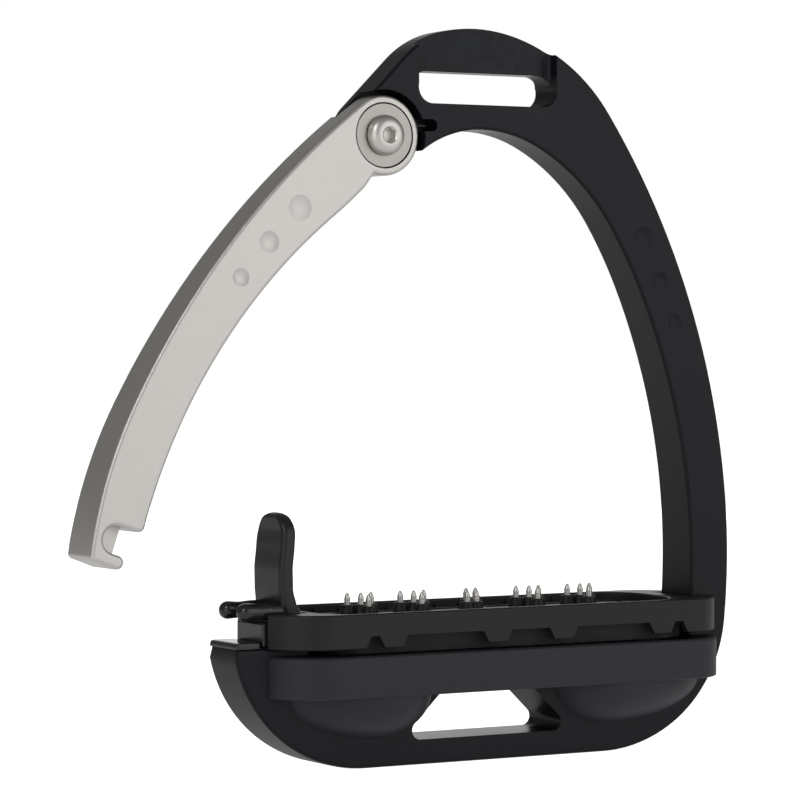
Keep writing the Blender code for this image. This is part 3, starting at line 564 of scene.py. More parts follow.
def piece(name, mesh, material, body, replaced=(), sharp=33.0):
    """A finished piece: smooth shaded, dressed, riding on its body and standing for its CAD nodes."""
    mesh.name = name
    mesh.materials.clear()
    for each in material if isinstance(material, (list, tuple)) else [material]:
        mesh.materials.append(each)
    mesh.shade_smooth()
    mesh.set_sharp_from_angle(angle=math.radians(sharp))
    obj = new_object(name, mesh)
    obj.modifiers.new("even_shading", "WEIGHTED_NORMAL").keep_sharp = True
    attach(obj, body)
    if replaced:
        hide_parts(*replaced)
    return obj


# ---------------------------------------------------------------- finishes

def new_group(name, inputs, outputs):
    """An empty node group. The inputs come with their values."""
    tree = bpy.data.node_groups.new(name, "ShaderNodeTree")
    for key, value in inputs.items():
        item = tree.interface.new_socket(name=key, in_out="INPUT", socket_type="NodeSocketFloat")
        item.default_value = value
    for key in outputs:
        tree.interface.new_socket(name=key, in_out="OUTPUT", socket_type="NodeSocketFloat")
    return tree


def add_node(tree, kind, **values):
    """A new node. The values go to its inputs, with _ for the spaces in their names."""
    node = tree.nodes.new(kind)
    for key, value in values.items():
        node.inputs[key.replace("_", " ")].default_value = value
    return node


def grain_group():
    """Fine and broad unevenness of a made surface, as masks from Object coordinates."""
    name = "surface_grain"
    if name in bpy.data.node_groups:
        return bpy.data.node_groups[name]
    tree = new_group(name, {"Fine Scale": 3000.0, "Broad Scale": 60.0}, ("Fine", "Broad"))
    links = tree.links
    source = add_node(tree, "NodeGroupInput")
    target = add_node(tree, "NodeGroupOutput")
    place = add_node(tree, "ShaderNodeTexCoord")
    for output, detail in (("Fine", 2.0), ("Broad", 3.0)):
        noise = add_node(tree, "ShaderNodeTexNoise", Detail=detail, Roughness=0.55)
        links.new(place.outputs["Object"], noise.inputs["Vector"])
        links.new(source.outputs[f"{output} Scale"], noise.inputs["Scale"])
        links.new(noise.outputs["Fac"], target.inputs[output])
    return tree


def convex_edge_group():
    """Mask of sharp convex edges from pointiness, broken up by noise; the colour is lightened there."""
    name = "rubbed_edges"
    if name in bpy.data.node_groups:
        return bpy.data.node_groups[name]
    tree = new_group(name, {"Amount": 0.5}, ("Mask",))
    links = tree.links
    source = add_node(tree, "NodeGroupInput")
    target = add_node(tree, "NodeGroupOutput")
    place = add_node(tree, "ShaderNodeTexCoord")
    shape = add_node(tree, "ShaderNodeNewGeometry")
    raised = add_node(tree, "ShaderNodeMapRange", From_Min=0.52, From_Max=0.60)
    noise = add_node(tree, "ShaderNodeTexNoise", Scale=420.0)
    broken = add_node(tree, "ShaderNodeMapRange", From_Min=0.42, From_Max=0.62)
    both = add_node(tree, "ShaderNodeMath")
    both.operation = "MULTIPLY"
    scaled = add_node(tree, "ShaderNodeMath")
    scaled.operation = "MULTIPLY"
    links.new(shape.outputs["Pointiness"], raised.inputs["Value"])
    links.new(place.outputs["Object"], noise.inputs["Vector"])
    links.new(noise.outputs["Fac"], broken.inputs["Value"])
    links.new(raised.outputs["Result"], both.inputs[0])
    links.new(broken.outputs["Result"], both.inputs[1])
    links.new(both.outputs["Value"], scaled.inputs[0])
    links.new(source.outputs["Amount"], scaled.inputs[1])
    links.new(scaled.outputs["Value"], target.inputs["Mask"])
    return tree


def finish(name, colour, roughness, metallic=0.0, grain=(3000.0, 60.0), bump=0.05, spread=0.06,
           tint=0.12, coat=0.0, edge_lift=0.0, specular=0.5):
    """A Principled material whose roughness, tone and relief vary as the real finish does."""
    if name in bpy.data.materials:
        return bpy.data.materials[name]
    material = bpy.data.materials.new(name)
    material.use_nodes = True
    tree = material.node_tree
    nodes = tree.nodes
    links = tree.links
    shader = nodes["Principled BSDF"]
    for key, value in (("Metallic", metallic), ("Specular IOR Level", specular), ("Coat Weight", coat),
                       ("Coat Roughness", 0.12)):
        shader.inputs[key].default_value = value
    group = nodes.new("ShaderNodeGroup")
    group.node_tree = grain_group()
    group.inputs["Fine Scale"].default_value = grain[0]
    group.inputs["Broad Scale"].default_value = grain[1]

    rough = add_node(tree, "ShaderNodeMapRange", To_Min=max(0.02, roughness - spread),
                     To_Max=min(1.0, roughness + spread))
    links.new(group.outputs["Broad"], rough.inputs["Value"])
    links.new(rough.outputs["Result"], shader.inputs["Roughness"])

    tone = nodes.new("ShaderNodeMix")
    tone.data_type = "RGBA"
    dark = [c * (1.0 - tint) for c in colour]
    light = [min(1.0, c * (1.0 + tint)) for c in colour]
    tone.inputs["A"].default_value = (*dark, 1.0)
    tone.inputs["B"].default_value = (*light, 1.0)
    links.new(group.outputs["Broad"], tone.inputs["Factor"])
    final = tone.outputs["Result"]
    # Lightens the colour to about three times its value along sharp convex edges.
    if edge_lift:
        edge_mask_node = nodes.new("ShaderNodeGroup")
        edge_mask_node.node_tree = convex_edge_group()
        edge_mask_node.inputs["Amount"].default_value = edge_lift
        edge_lift_mix = nodes.new("ShaderNodeMix")
        edge_lift_mix.data_type = "RGBA"
        edge_lift_mix.inputs["B"].default_value = (*[min(1.0, c * 3.0 + 0.01) for c in colour], 1.0)
        links.new(edge_mask_node.outputs["Mask"], edge_lift_mix.inputs["Factor"])
        links.new(final, edge_lift_mix.inputs["A"])
        final = edge_lift_mix.outputs["Result"]
    links.new(final, shader.inputs["Base Color"])

    relief = add_node(tree, "ShaderNodeBump", Strength=bump, Distance=0.0001)
    links.new(group.outputs["Fine"], relief.inputs["Height"])
    links.new(relief.outputs["Normal"], shader.inputs["Normal"])
    return material


def finishes():
    """All finishes by name."""
    look = bpy.context.scene.iron_finish
    steel = tuple(look.steel_colour)
    nylon = tuple(look.nylon_colour)
    return {
        "coat": finish("satin_black_coat", tuple(look.coat_colour), look.coat_roughness, grain=(2600.0, 35.0),
                       bump=0.10, spread=0.05, edge_lift=0.3, specular=0.2),
        # Painted light: the band's lighter colour stands for the extra light on these lower faces; its higher
        # roughness gives the drier gloss.
        "platform": finish("lit_platform_coat", tuple(look.platform_lit_colour), 0.46, grain=(2600.0, 30.0),
                           bump=0.14, spread=0.06, specular=0.25),
        "silver": finish("blasted_silver", tuple(look.silver_colour), 0.42, metallic=1.0,
                         grain=(7000.0, 45.0), bump=0.35, spread=0.04, tint=0.03),
        "polished": finish("polished_steel", steel, 0.16, metallic=1.0, grain=(5000.0, 160.0), bump=0.05,
                           spread=0.05, tint=0.05),
        "washer": finish("satin_washer_steel", tuple(c * 0.62 for c in steel), 0.36, metallic=1.0,
                         grain=(9000.0, 220.0), bump=0.25, spread=0.06, tint=0.08),
        "nylon": finish("moulded_nylon", nylon, 0.42, grain=(4200.0, 50.0), bump=0.22, spread=0.06,
                        specular=0.25),
        "lever": finish("lever_nylon", tuple(c * 0.8 for c in nylon), 0.34, grain=(4200.0, 80.0), bump=0.10,
                        spread=0.06, specular=0.35),
        "gloss": finish("gloss_black", (0.004, 0.004, 0.0045), 0.12, grain=(1500.0, 90.0), bump=0.03,
                        spread=0.04, coat=0.6),
        "rubber": finish("black_rubber", (0.010, 0.010, 0.010), 0.78, grain=(2200.0, 70.0), bump=0.4,
                         spread=0.1),
        "bronze": finish("bearing_bronze", (0.42, 0.27, 0.12), 0.35, metallic=1.0, grain=(6000.0, 120.0),
                         bump=0.2),
        "spring": finish("spring_wire", (0.33, 0.32, 0.31), 0.3, metallic=1.0, grain=(6000.0, 300.0),
                         bump=0.15),
    }


# ---------------------------------------------------------------- frame

def crown_left():
    """The crown's left half, which runs down to the hinge eye in one bend and a straight."""
    lead = 12.0
    diagonal = math.radians(45.0)
    touch = (PIVOT[0] - EYE_RADIUS * math.sin(diagonal), PIVOT[1] + EYE_RADIUS * math.cos(diagonal))
    start = arc_chain((0.0, CROWN_TOP), 180.0, ((CROWN_RADIUS, lead),))
    x, z = start[-1]
    sine = math.sin(diagonal) - math.sin(math.radians(lead))
    cosine = math.cos(math.radians(lead)) - math.cos(diagonal)
    radius = ((touch[1] - touch[0]) - (z - x)) / (sine - cosine)
    bend = arc_chain((x, z), 180.0 + lead, ((radius, 45.0 - lead),))
    return start + bend[1:] + [touch]


def spread_end(points, x, z, power):
    """Shares out the small misfit at a chain's end along the chain."""
    count = len(points) - 1
    dx = x - points[-1][0]
    dz = z - points[-1][1]
    shares = [(i / count) ** power for i in range(count + 1)]
    return [(px + dx * share, pz + dz * share) for (px, pz), share in zip(points, shares)]


def frame_outline():
    outer = arc_chain((SOLE_HALF, 0.0), 0.0, OUTER_ARCS)
    heading = sum(angle for _, angle in OUTER_ARCS)
    crown = spread_end(arc_chain(outer[-1], heading, ((CROWN_RADIUS, 180.0 - heading),)), 0.0, CROWN_TOP, 1)
    lug = circle_arc(PIVOT, EYE_RADIUS, 135.0, 333.0)
    arch_left = circle_arc((0.0, ARCH_TOP - ARCH_RADIUS_LEFT), ARCH_RADIUS_LEFT, 126.0, 90.0)
    inner = arc_chain(INNER_FOOT, INNER_HEADING, INNER_ARCS)
    heading = INNER_HEADING + sum(angle for _, angle in INNER_ARCS)
    inner += arc_chain(inner[-1], heading, ((ARCH_RADIUS_RIGHT, 180.0 - heading),))[1:]
    inner = spread_end(inner, 0.2, ARCH_TOP, 2)
    end = arc_chain((SOLE_HALF, 0.0), 0.0, END_ARCS)
    left = [(-x, z) for x, z in reversed(end) if z < SEAT_Z - 1.0]
    seat = [(LATCH_WALL_X, INNER_FOOT[1]), (LATCH_WALL_X, SEAT_Z), (SEAT_X, SEAT_Z)]
    return outer[:-1] + crown[:-1] + crown_left() + lug[1:] + arch_left[:-1] + inner[::-1] + seat + left


def window_outline():
    z0, half0 = WINDOW_BOTTOM
    z1, half1 = WINDOW_TOP
    slope = math.atan2(z1 - z0, half0 - half1)
    back = WINDOW_CORNER / math.tan(slope / 2)
    right = arc_chain((half0 - back, z0), 0.0, ((WINDOW_CORNER, 180.0 - math.degrees(slope)),))
    return [(-x, z) for x, z in reversed(right)] + right + [(half1, z1), (-half1, z1)]


def pod(x, left, right):
    """The swelling under the platform, steep on one side and long on the other."""
    bm = bmesh.new()
    bmesh.ops.create_uvsphere(bm, u_segments=96, v_segments=64, radius=1.0)
    for vert in bm.verts:
        vert.co.x *= left if vert.co.x < 0 else right
    bmesh.ops.scale(bm, verts=bm.verts, vec=(MM, POD_HALF_WIDTH * MM, POD_DEPTH * MM))
    bmesh.ops.translate(bm, verts=bm.verts, vec=Vector((x, 0.0, PLATFORM_Z[0] + 0.05)) * MM)
    top = Vector((0, 0, PLATFORM_Z[0] + 1.5)) * MM
    bmesh.ops.bisect_plane(bm, geom=bm.verts[:] + bm.edges[:] + bm.faces[:], plane_co=top,
                           plane_no=(0, 0, 1), clear_outer=True)
    bmesh.ops.edgeloop_fill(bm, edges=[e for e in bm.edges if e.is_boundary])
    return finished_mesh(bm)


def dimple(x, z, radius, depth, face_y, angle=0.0):
    """A lens that cuts a shallow round dimple into a front face."""
    sphere = (radius * radius + depth * depth) / (2 * depth)
    profile = [(0.0, 2.0), (radius * 1.02, 2.0), (radius * 1.02, 0.0)]
    for i in range(1, 13):
        r = radius * (1 - i / 12)
        profile.append((r, sphere - depth - math.sqrt(max(0.0, sphere * sphere - r * r))))
    return facing_front(spun(profile, 72), x, face_y, z)


def half_at(law, z):
    """Half the depth at a height."""
    return law[0] - law[1] * z


def build_frame_mesh(edges):
    shape = Shape(plate([frame_outline()], lambda u, v: -half_at(FRAME_HALF, v),
                        lambda u, v: half_at(FRAME_HALF, v), edges.frame_edge))
    band = rounded_rectangle(*PLATFORM_X, -PLATFORM_HALF, PLATFORM_HALF, CORNER_RADIUS, END_RADIUS)
    shape.join(slab([band], *PLATFORM_Z, (0.5, 0.9)))
    for x, left, right in PODS:
        shape.join(pod(x, left, right))
    shape.cut(prism(window_outline(), -OUTSIDE_TREAD, OUTSIDE_TREAD))
    shape.cut(prism(capsule(SLOT_CENTRE, SLOT_LENGTH, SLOT_HEIGHT), -OUTSIDE_FRAME, OUTSIDE_FRAME))
    shape.cut(bar_relief(-OUTSIDE_FRAME, BAR_FRONT_Y))
    shape.cut(bar_relief(BAR_BACK_Y, OUTSIDE_FRAME))
    shape.cut(bar_along_y(PIVOT, HINGE_RECESS_RADIUS, -OUTSIDE_FRAME, LUG_FRONT_Y, 144))
    start = PIVOT[0] + SPRING_SLOT_X[0]
    leg = [(start, SPRING_SLOT_Z - SPRING_SLOT_RADIUS)]
    leg += circle_arc((SPRING_SLOT_X[1] - SPRING_SLOT_RADIUS, SPRING_SLOT_Z), SPRING_SLOT_RADIUS, -90, 90)
    leg += [(start, SPRING_SLOT_Z + SPRING_SLOT_RADIUS)]
    shape.cut(prism(leg, -OUTSIDE_FRAME, SPRING_SLOT_FLOOR_Y))
    shape.cut(facing_front(spun(NUT_ROOM, 72), PIVOT[0], 0.0, PIVOT[1]))
    for x, y in SCREW_SPOTS:
        shape.cut(moved(rod(SCREW_HOLE_RADIUS, SCREW_HOLE_FLOOR, ABOVE_TREAD, 40), x, y, 0))
    for x, z, radius in BRANCH_DIMPLES:
        shape.cut(dimple(x, z, radius, edges.dimple_depth * 0.8, -half_at(FRAME_HALF, z)))
    return shape.done()


def prism(outline, y0, y1):
    """A sharp-edged plate for cutting."""
    bm = bmesh.new()
    outline = without_repeats(outline)
    face = bm.faces.new([bm.verts.new(Vector((x, y0, z)) * MM) for x, z in outline])
    made = bmesh.ops.extrude_face_region(bm, geom=[face])["geom"]
    bmesh.ops.translate(bm, verts=of_kind(made, bmesh.types.BMVert), vec=(0, (y1 - y0) * MM, 0))
    return finished_mesh(bm)


def bar_relief(y0, y1):
    """The pocket that thins the strap bar, with rounded inner corners at its floor."""
    bm = box_between(BAR_X, (y0, y1), (SLOT_CENTRE[1], 180.0))
    floor_y = (y1 if y0 == -OUTSIDE_FRAME else y0) * MM
    ends = [e for e in bm.edges if all(abs(v.co.y - floor_y) < 1e-6 for v in e.verts)
            and abs(e.verts[0].co.x - e.verts[1].co.x) < 1e-6]
    round_edges(bm, ends, 1.6, 10)
    return finished_mesh(bm)


def paint_platform(mesh, other):
    """Gives the platform band and its swellings the drier coat: a lighter copy of the frame's coat in which
    the extra light on these lower faces is painted.
    """
    for face in mesh.polygons:
        c = face.center / MM
        outside = abs(c.y) > half_at(FRAME_HALF, c.z) + 0.05
        face.material_index = other if outside and c.z < PLATFORM_Z[1] + 0.3 else 0


# ---------------------------------------------------------------- release arm

def arm_outline():
    """The closed arm's outline: outer side, eye, inner side and hook."""
    outer = arc_chain(ARM_OUTER_FOOT, ARM_OUTER_HEADING, tuple((-r, a) for r, a in ARM_OUTER_ARCS))
    end = outer[-1]
    first = math.degrees(math.atan2(end[1] - PIVOT[1], end[0] - PIVOT[0]))
    inner = arc_chain(ARM_INNER_FOOT, ARM_INNER_HEADING, tuple((-r, a) for r, a in ARM_INNER_ARCS))
    last = math.degrees(math.atan2(inner[-1][1] - PIVOT[1], inner[-1][0] - PIVOT[0]))
    eye = circle_arc(PIVOT, EYE_RADIUS, first, last)
    catch = circle_arc(CATCH_CENTRE, CATCH_RADIUS, 90.0, 270.0)
    lip_top = CATCH_CENTRE[1] - CATCH_RADIUS
    lip_radius = (lip_top - LIP_BOTTOM) / 2
    lip = circle_arc((LIP_X - lip_radius, lip_top - lip_radius), lip_radius, 90.0, -90.0)
    corner = circle_arc((ARM_INNER_FOOT[0] - HOOK_CORNER, CATCH_CENTRE[1] + CATCH_RADIUS + HOOK_CORNER),
                        HOOK_CORNER, 0.0, -90.0)
    heel = circle_arc((ARM_OUTER_FOOT[0] + HEEL_RADIUS, HEEL_Z), HEEL_RADIUS, 260.0, 190.0)
    return outer[1:] + eye[1:] + inner[-2:0:-1] + corner + catch + lip + heel


def build_arm_mesh(edges):
    def opened(points):
        return turned_about(points, PIVOT, -OPEN_ANGLE)

    def closed_height(u, v):
        return turned_about([(u, v)], PIVOT, OPEN_ANGLE)[0][1]

    outline = opened(arm_outline())[::-1]
    shape = Shape(plate([outline], lambda u, v: -half_at(ARM_HALF, closed_height(u, v)),
                        lambda u, v: half_at(ARM_HALF, closed_height(u, v)), edges.arm_edge))
    shape.cut(bar_along_y(PIVOT, HINGE_RECESS_RADIUS, EYE_BACK_Y, OUTSIDE_FRAME, 144))
    shape.cut(bar_along_y(PIVOT, WELL_RADIUS, -OUTSIDE_FRAME, WELL_FLOOR_Y, 128))
    shape.cut(bar_along_y(PIVOT, SPRING_RADIUS, -5.0, 5.0, 72))
    window = circle_arc(PIVOT, LEG_WINDOW[0], 8.0, 50.0) + circle_arc(PIVOT, LEG_WINDOW[1], 50.0, 8.0)
    shape.cut(prism(opened(window), -2.9, -0.7))
    tongue = block(*TONGUE)
    spot = Vector((PIVOT[0], 0, PIVOT[1])) * MM
    turn = Matrix.Rotation(math.radians(OPEN_ANGLE), 4, "Y")
    tongue.transform(Matrix.Translation(spot) @ turn @ Matrix.Translation(-spot))
    shape.join(tongue)
    for x, z, radius in ARM_DIMPLES:
        shape.cut(dimple(x, z, radius, edges.dimple_depth, -half_at(ARM_HALF, closed_height(x, z))))
    return shape.done()


# ---------------------------------------------------------------- hinge

def hex_prism(radius, z0, z1):
    bm = bmesh.new()
    bmesh.ops.create_cone(bm, cap_ends=True, segments=6, radius1=radius * MM, radius2=radius * MM,
                          depth=(z1 - z0) * MM)
    bmesh.ops.translate(bm, verts=bm.verts, vec=(0, 0, (z0 + z1) / 2 * MM))
    return finished_mesh(bm)


def pivot_screw_mesh():
    """A button head with a hexagon socket on a plain shank."""
    profile = [(0.0, HEAD_TOP), (HEAD_FLAT, HEAD_TOP)]
    for i in range(1, 15):
        angle = math.radians(6 + 78 * i / 14)
        across = 2.4 * math.sin(angle) / math.sin(math.radians(84))
        profile.append((HEAD_FLAT + across, 4.75 + 2.33 * math.cos(angle)))
    profile += [(HEAD_RADIUS, 4.62), (2.5, 4.6), (2.5, -4.3), (2.3, -4.5), (0.0, -4.5)]
    shape = Shape(spun(profile, 128))
    shape.cut(spun([(0.0, 9.0), (2.9, 9.0), (2.05, 7.12), (1.62, 6.7), (0.0, 6.7)], 96))
    shape.cut(hex_prism(*HEX_SOCKET, 9.0))
    return facing_front(shape.done(), PIVOT[0], 0.0, PIVOT[1])


# ---------------------------------------------------------------- latch

def rounded_section(x0, x1, y0, y1, z, radius):
    """A rounded rectangle at height z, with the same number of points whatever its size."""
    steps = 6
    radius = min(radius, (x1 - x0) / 2 - 0.01, (y1 - y0) / 2 - 0.01)
    points = []
    for cx, cy, first in ((x1 - radius, y0 + radius, -90), (x1 - radius, y1 - radius, 0),
                          (x0 + radius, y1 - radius, 90), (x0 + radius, y0 + radius, 180)):
        for i in range(steps + 1):
            angle = math.radians(first + 90 * i / steps)
            points.append((cx + radius * math.cos(angle), cy + radius * math.sin(angle), z))
    return points


def smooth_between(table, t):
    """A value from pairs of place and value, half straight and half eased."""
    for (a, va), (b, vb) in zip(table, table[1:]):
        if t <= b:
            f = max(0.0, (t - a) / (b - a))
            return va + (vb - va) * (f * f * (3 - 2 * f) * 0.5 + f * 0.5)
    return table[-1][1]


def blade_mesh():
    """The thumb blade: an S-curved paddle with a rounded top and a foot that spreads over the tread."""
    foot, top = BLADE_Z
    sections = []
    for i in range(61):
        z = foot + (top - foot) * (1 - (1 - i / 60) ** 1.7)
        rise = top - z
        width = BLADE_HALF
        if rise <= BLADE_CORNER:
            drop = BLADE_CORNER - rise
            width = BLADE_HALF - BLADE_CORNER + math.sqrt(max(0.0, BLADE_CORNER ** 2 - drop ** 2))
        x0 = smooth_between(BLADE_LEFT, z)
        x1 = smooth_between(BLADE_RIGHT, z)
        middle = (x0 + x1) / 2
        thick = (x1 - x0) / 2
        if rise < BLADE_ROUNDING:
            thick *= math.sqrt(max(0.004, 1 - ((BLADE_ROUNDING - rise) / BLADE_ROUNDING) ** 2))
        sections.append(rounded_section(middle - thick, middle + thick, -width, width, z, 1.25))
    return loft(sections)


def nose_mesh(side):
    """One of the two rounded noses that the arm's hook passes over."""
    stations = 40
    sections = []
    for i in range(stations + 1):
        x = NOSE_TIP_X + NOSE_LENGTH * (i / stations)
        behind = x - NOSE_TIP_X
        radius = NOSE_RADIUS
        if behind <= NOSE_RADIUS:
            radius = math.sqrt(max(0.01, NOSE_RADIUS ** 2 - (NOSE_RADIUS - behind) ** 2))
        radius *= 1.0 - 0.10 * math.exp(-((behind - 5.0) / 2.0) ** 2)
        ring = []
        for k in range(32):
            angle = 2 * math.pi * k / 32
            ring.append((x, side * NOSE_Y + radius * math.cos(angle), NOSE_Z + radius * math.sin(angle)))
        sections.append(ring)
    return loft(sections)


def lever_hub_mesh():
    """What joins the blade and the noses and turns on the pin."""
    shape = Shape(bar_along_y(LEVER_PIN, 2.5, -3.95, 3.95, 64))
    shape.join(prism(HUB, -3.9, 3.9))
    shape.join(block((-57.7, -50.4), (-6.3, 6.3), (35.6, 38.6), 0.5))
    shape.cut(bar_along_y(LEVER_PIN, 1.55, -10.0, 10.0, 48))
    return shape.done()


def latch_block_mesh():
    shape = Shape(block((-60.0, -53.0), (-6.4, 6.4), (29.3, 34.8), 0.5, 4))
    shape.cut(block((-58.3, -50.0), (-4.3, 4.3), (30.3, 40.0)))
    shape.cut(bar_along_y(LEVER_PIN, 1.45, -10.0, 10.0, 48))
    return shape.done()


def bumper_mesh():
    r = 0.45
    quarter = (0.0, math.pi / 6, math.pi / 3, math.pi / 2)
    sections = []
    for x, z1, half in BUMPER_STATIONS:
        low = max(BUMPER_BOTTOM, z1 - r)
        high = min(r, z1 - BUMPER_BOTTOM)
        ring = [(x, -half, BUMPER_BOTTOM), (x, half, BUMPER_BOTTOM)]
        ring += [(x, half - r + r * math.cos(a), low + high * math.sin(a)) for a in quarter]
        ring += [(x, -half + r - r * math.cos(a), low + high * math.sin(a)) for a in reversed(quarter)]
        sections.append(ring)
    return loft(sections)


# ---------------------------------------------------------------- tread

def tread_plan(inset):
    return rounded_rectangle(TREAD_X[0] + inset, TREAD_X[1] - inset, -TREAD_HALF + inset, TREAD_HALF - inset,
                             CORNER_RADIUS - inset, END_RADIUS - inset)


def well_plan(wall):
    return rounded_rectangle(*WELL_X, -TREAD_HALF + wall, TREAD_HALF - wall, CORNER_RADIUS - wall,
                             WELL_END_RADIUS)


def notch_outline(x0, x1):
    foot = TREAD_Z[0] - 2.0
    run = NOTCH_SLOPE * (NOTCH_TOP - foot) / (NOTCH_TOP - TREAD_Z[0])
    left = TREAD_CENTRE_X + x0
    right = TREAD_CENTRE_X + x1
    return [(left - run + NOTCH_SLOPE, foot), (right + run - NOTCH_SLOPE, foot),
            (right - NOTCH_SLOPE, NOTCH_TOP), (left + NOTCH_SLOPE, NOTCH_TOP)]


def gusset(x, side, wall):
    """A triangular fin between the rim and the floor of the tread."""
    y_wall = side * (TREAD_HALF - wall + 0.3)
    y_foot = side * (TREAD_HALF - wall - 3.0)
    z0 = FLOOR_Z[1] - 0.2
    z1 = TREAD_Z[1] - 0.35
    bm = bmesh.new()
    corners = ((y_wall, z0), (y_wall, z1), (y_foot, z0))
    face = bm.faces.new([bm.verts.new(Vector((x - GUSSET_HALF, y, z)) * MM) for y, z in corners])
    made = bmesh.ops.extrude_face_region(bm, geom=[face])["geom"]
    bmesh.ops.translate(bm, verts=of_kind(made, bmesh.types.BMVert), vec=(2 * GUSSET_HALF * MM, 0, 0))
    return finished_mesh(bm)


def merged(meshes):
    """Several closed meshes in one, for pieces that a cut or a join takes together."""
    bm = bmesh.new()
    for mesh in meshes:
        bm.from_mesh(mesh)
    return finished_mesh(bm)


def tread_body_mesh(tread, edges):
    below = 20.0
    shape = Shape(slab([tread_plan(0.0), well_plan(tread.wall)[::-1]], *TREAD_Z, (0.35, edges.moulded_edge),
                       hold=0.12))
    shape.cut(slab([tread_plan(tread.wall)], below, FLOOR_Z[0], 0.2))
    shape.join(slab([tread_plan(tread.wall - 0.4)], *FLOOR_Z, 0.1, steps=1))
    for x0, x1 in NOTCHES:
        shape.cut(prism(notch_outline(x0, x1), -OUTSIDE_TREAD, OUTSIDE_TREAD))
    fins = []
    x = GUSSET_X[0]
    while x < GUSSET_X[1]:
        fins += [gusset(x, -1, tread.wall), gusset(x, 1, tread.wall)]
        x += tread.gusset_pitch
    shape.join(merged(fins))
    shape.cut(block(*BRANCH_ROOM, (below, ABOVE_TREAD)))
    shape.cut(block(REAR_GAP[0], REAR_GAP[1], (below, REAR_GAP[2])))
    shape.cut(block(*LEVER_ROOM, (below, ABOVE_TREAD)))
    for x, y in SCREW_SPOTS:
        shape.cut(moved(rod(SCREW_HOLE_RADIUS, 30.0, ABOVE_TREAD, 40), x, y, 0))
    return shape.done()


def stud_places():
    return [(x + dx, y) for x in STUD_CLUSTERS for dx, y in CLUSTER] + list(MIDDLE_STUDS)


def grid_mesh():
    below = 30.0
    outline = rounded_rectangle(*GRID_X, -GRID_HALF, GRID_HALF, GRID_CORNER)
    shape = Shape(slab([outline], *GRID_Z, (0.1, 0.25), steps=3, hold=0.1))
    shape.cut(merged([block(x, y, (below, ABOVE_TREAD)) for x in CELLS for y in CELL_ROWS]))
    shape.cut(merged([moved(rod(3.9, below, ABOVE_TREAD, 56), x, y, 0) for x, y in SCREW_SPOTS]))
    for x, y in stud_places():
        shape.join(moved(spun(BOSS, 28), x, y, GRID_Z[1]))
    shape.cut(merged([moved(rod(1.05, -6.0, 6.0, 20), x, y, GRID_Z[1]) for x, y in stud_places()]))
    return shape.done()


def stud_mesh(tread, x, y):
    """A stud with a rounded point and a groove under it."""
    r = tread.stud_radius
    tip = tread.stud_tip_z
    base = GRID_Z[0]
    profile = [(0.0, tip)]
    for i in range(1, 8):
        t = i / 7
        profile.append((r * math.sqrt(t) * (1 - 0.12 * (1 - t)), tip - 1.5 * t ** 1.25))
    profile += [(r * 0.93, tip - 1.75), (r * 0.93, tip - 1.95), (r, tip - 2.1)]
    profile += [(r, base + 0.1), (r - 0.1, base), (0.0, base)]
    return moved(spun(profile, 28), x, y, 0)


def tread_screw_mesh(x, y):
    top = SCREW_TOP
    profile = [(0.0, top)] + rounded_corner(SCREW_HEAD_RADIUS, top, 0.15, 0)
    profile += [(SCREW_HEAD_RADIUS, top - 0.5), (2.0, top - 1.6), (2.0, SCREW_END), (0.0, SCREW_END)]
    shape = Shape(spun(profile, 56))
    shape.cut(hex_prism(1.25, top - 2.0, top + 2.0))
    return moved(shape.done(), x, y, 0)


# ---------------------------------------------------------------- operators

class IRON_OT_frame(bpy.types.Operator):
    """Build the coated frame"""
    bl_idname = "iron.build_frame"
    bl_label = "Frame"

    def execute(self, context):
        looks = finishes()
        mesh = build_frame_mesh(context.scene.iron_edges)
        obj = piece("frame_casting", mesh, [looks["coat"], looks["platform"]], "frame",
                    ("frame",))
        paint_platform(obj.data, 1)
        return {"FINISHED"}


class IRON_OT_arm(bpy.types.Operator):
    """Build the silver release arm"""
    bl_idname = "iron.build_arm"
    bl_label = "Release arm"

    def execute(self, context):
        mesh = build_arm_mesh(context.scene.iron_edges)
        piece("arm_forging", mesh, finishes()["silver"], "release_arm", ("release_arm",))
        return {"FINISHED"}


class IRON_OT_hinge(bpy.types.Operator):
    """Build the pivot screw, its washer and the pieces round it"""
    bl_idname = "iron.build_hinge"
    bl_label = "Hinge"

    def execute(self, context):
        looks = finishes()
        x, z = PIVOT
        piece("button_screw", pivot_screw_mesh(), looks["polished"], "frame",
              ("pivot_screw",))
        washer = facing_front(spun(round_ring(*WASHER), 128), x, 0, z)
        piece("dished_washer", washer, looks["washer"], "frame", ("pivot_washer",))
        seal = facing_front(spun(round_ring(*SEAL), 96), x, 0, z)
        piece("seal_ring", seal, looks["rubber"], "release_arm", ("well_seal",))
        piece("flanged_nut", facing_front(spun(NUT, 96), x, 0, z), looks["washer"], "frame",
              ("pivot_nut",))
        return {"FINISHED"}


class IRON_OT_latch(bpy.types.Operator):
    """Build the thumb lever, its block and the pad on the short end"""
    bl_idname = "iron.build_latch"
    bl_label = "Latch"

    def execute(self, context):
        looks = finishes()
        piece("thumb_blade", blade_mesh(), looks["lever"], "release_lever",
              ("release_lever",), 40.0)
        for side, name in ((-1, "front"), (1, "rear")):
            piece(f"lever_nose_{name}", nose_mesh(side), looks["gloss"], "release_lever")
        piece("lever_hub", lever_hub_mesh(), looks["lever"], "release_lever")
        piece("latch_housing", latch_block_mesh(), looks["gloss"], "frame", ("latch_block",))
        piece("bumper_pad", bumper_mesh(), looks["gloss"], "frame", ("arm_bumper",))
        return {"FINISHED"}


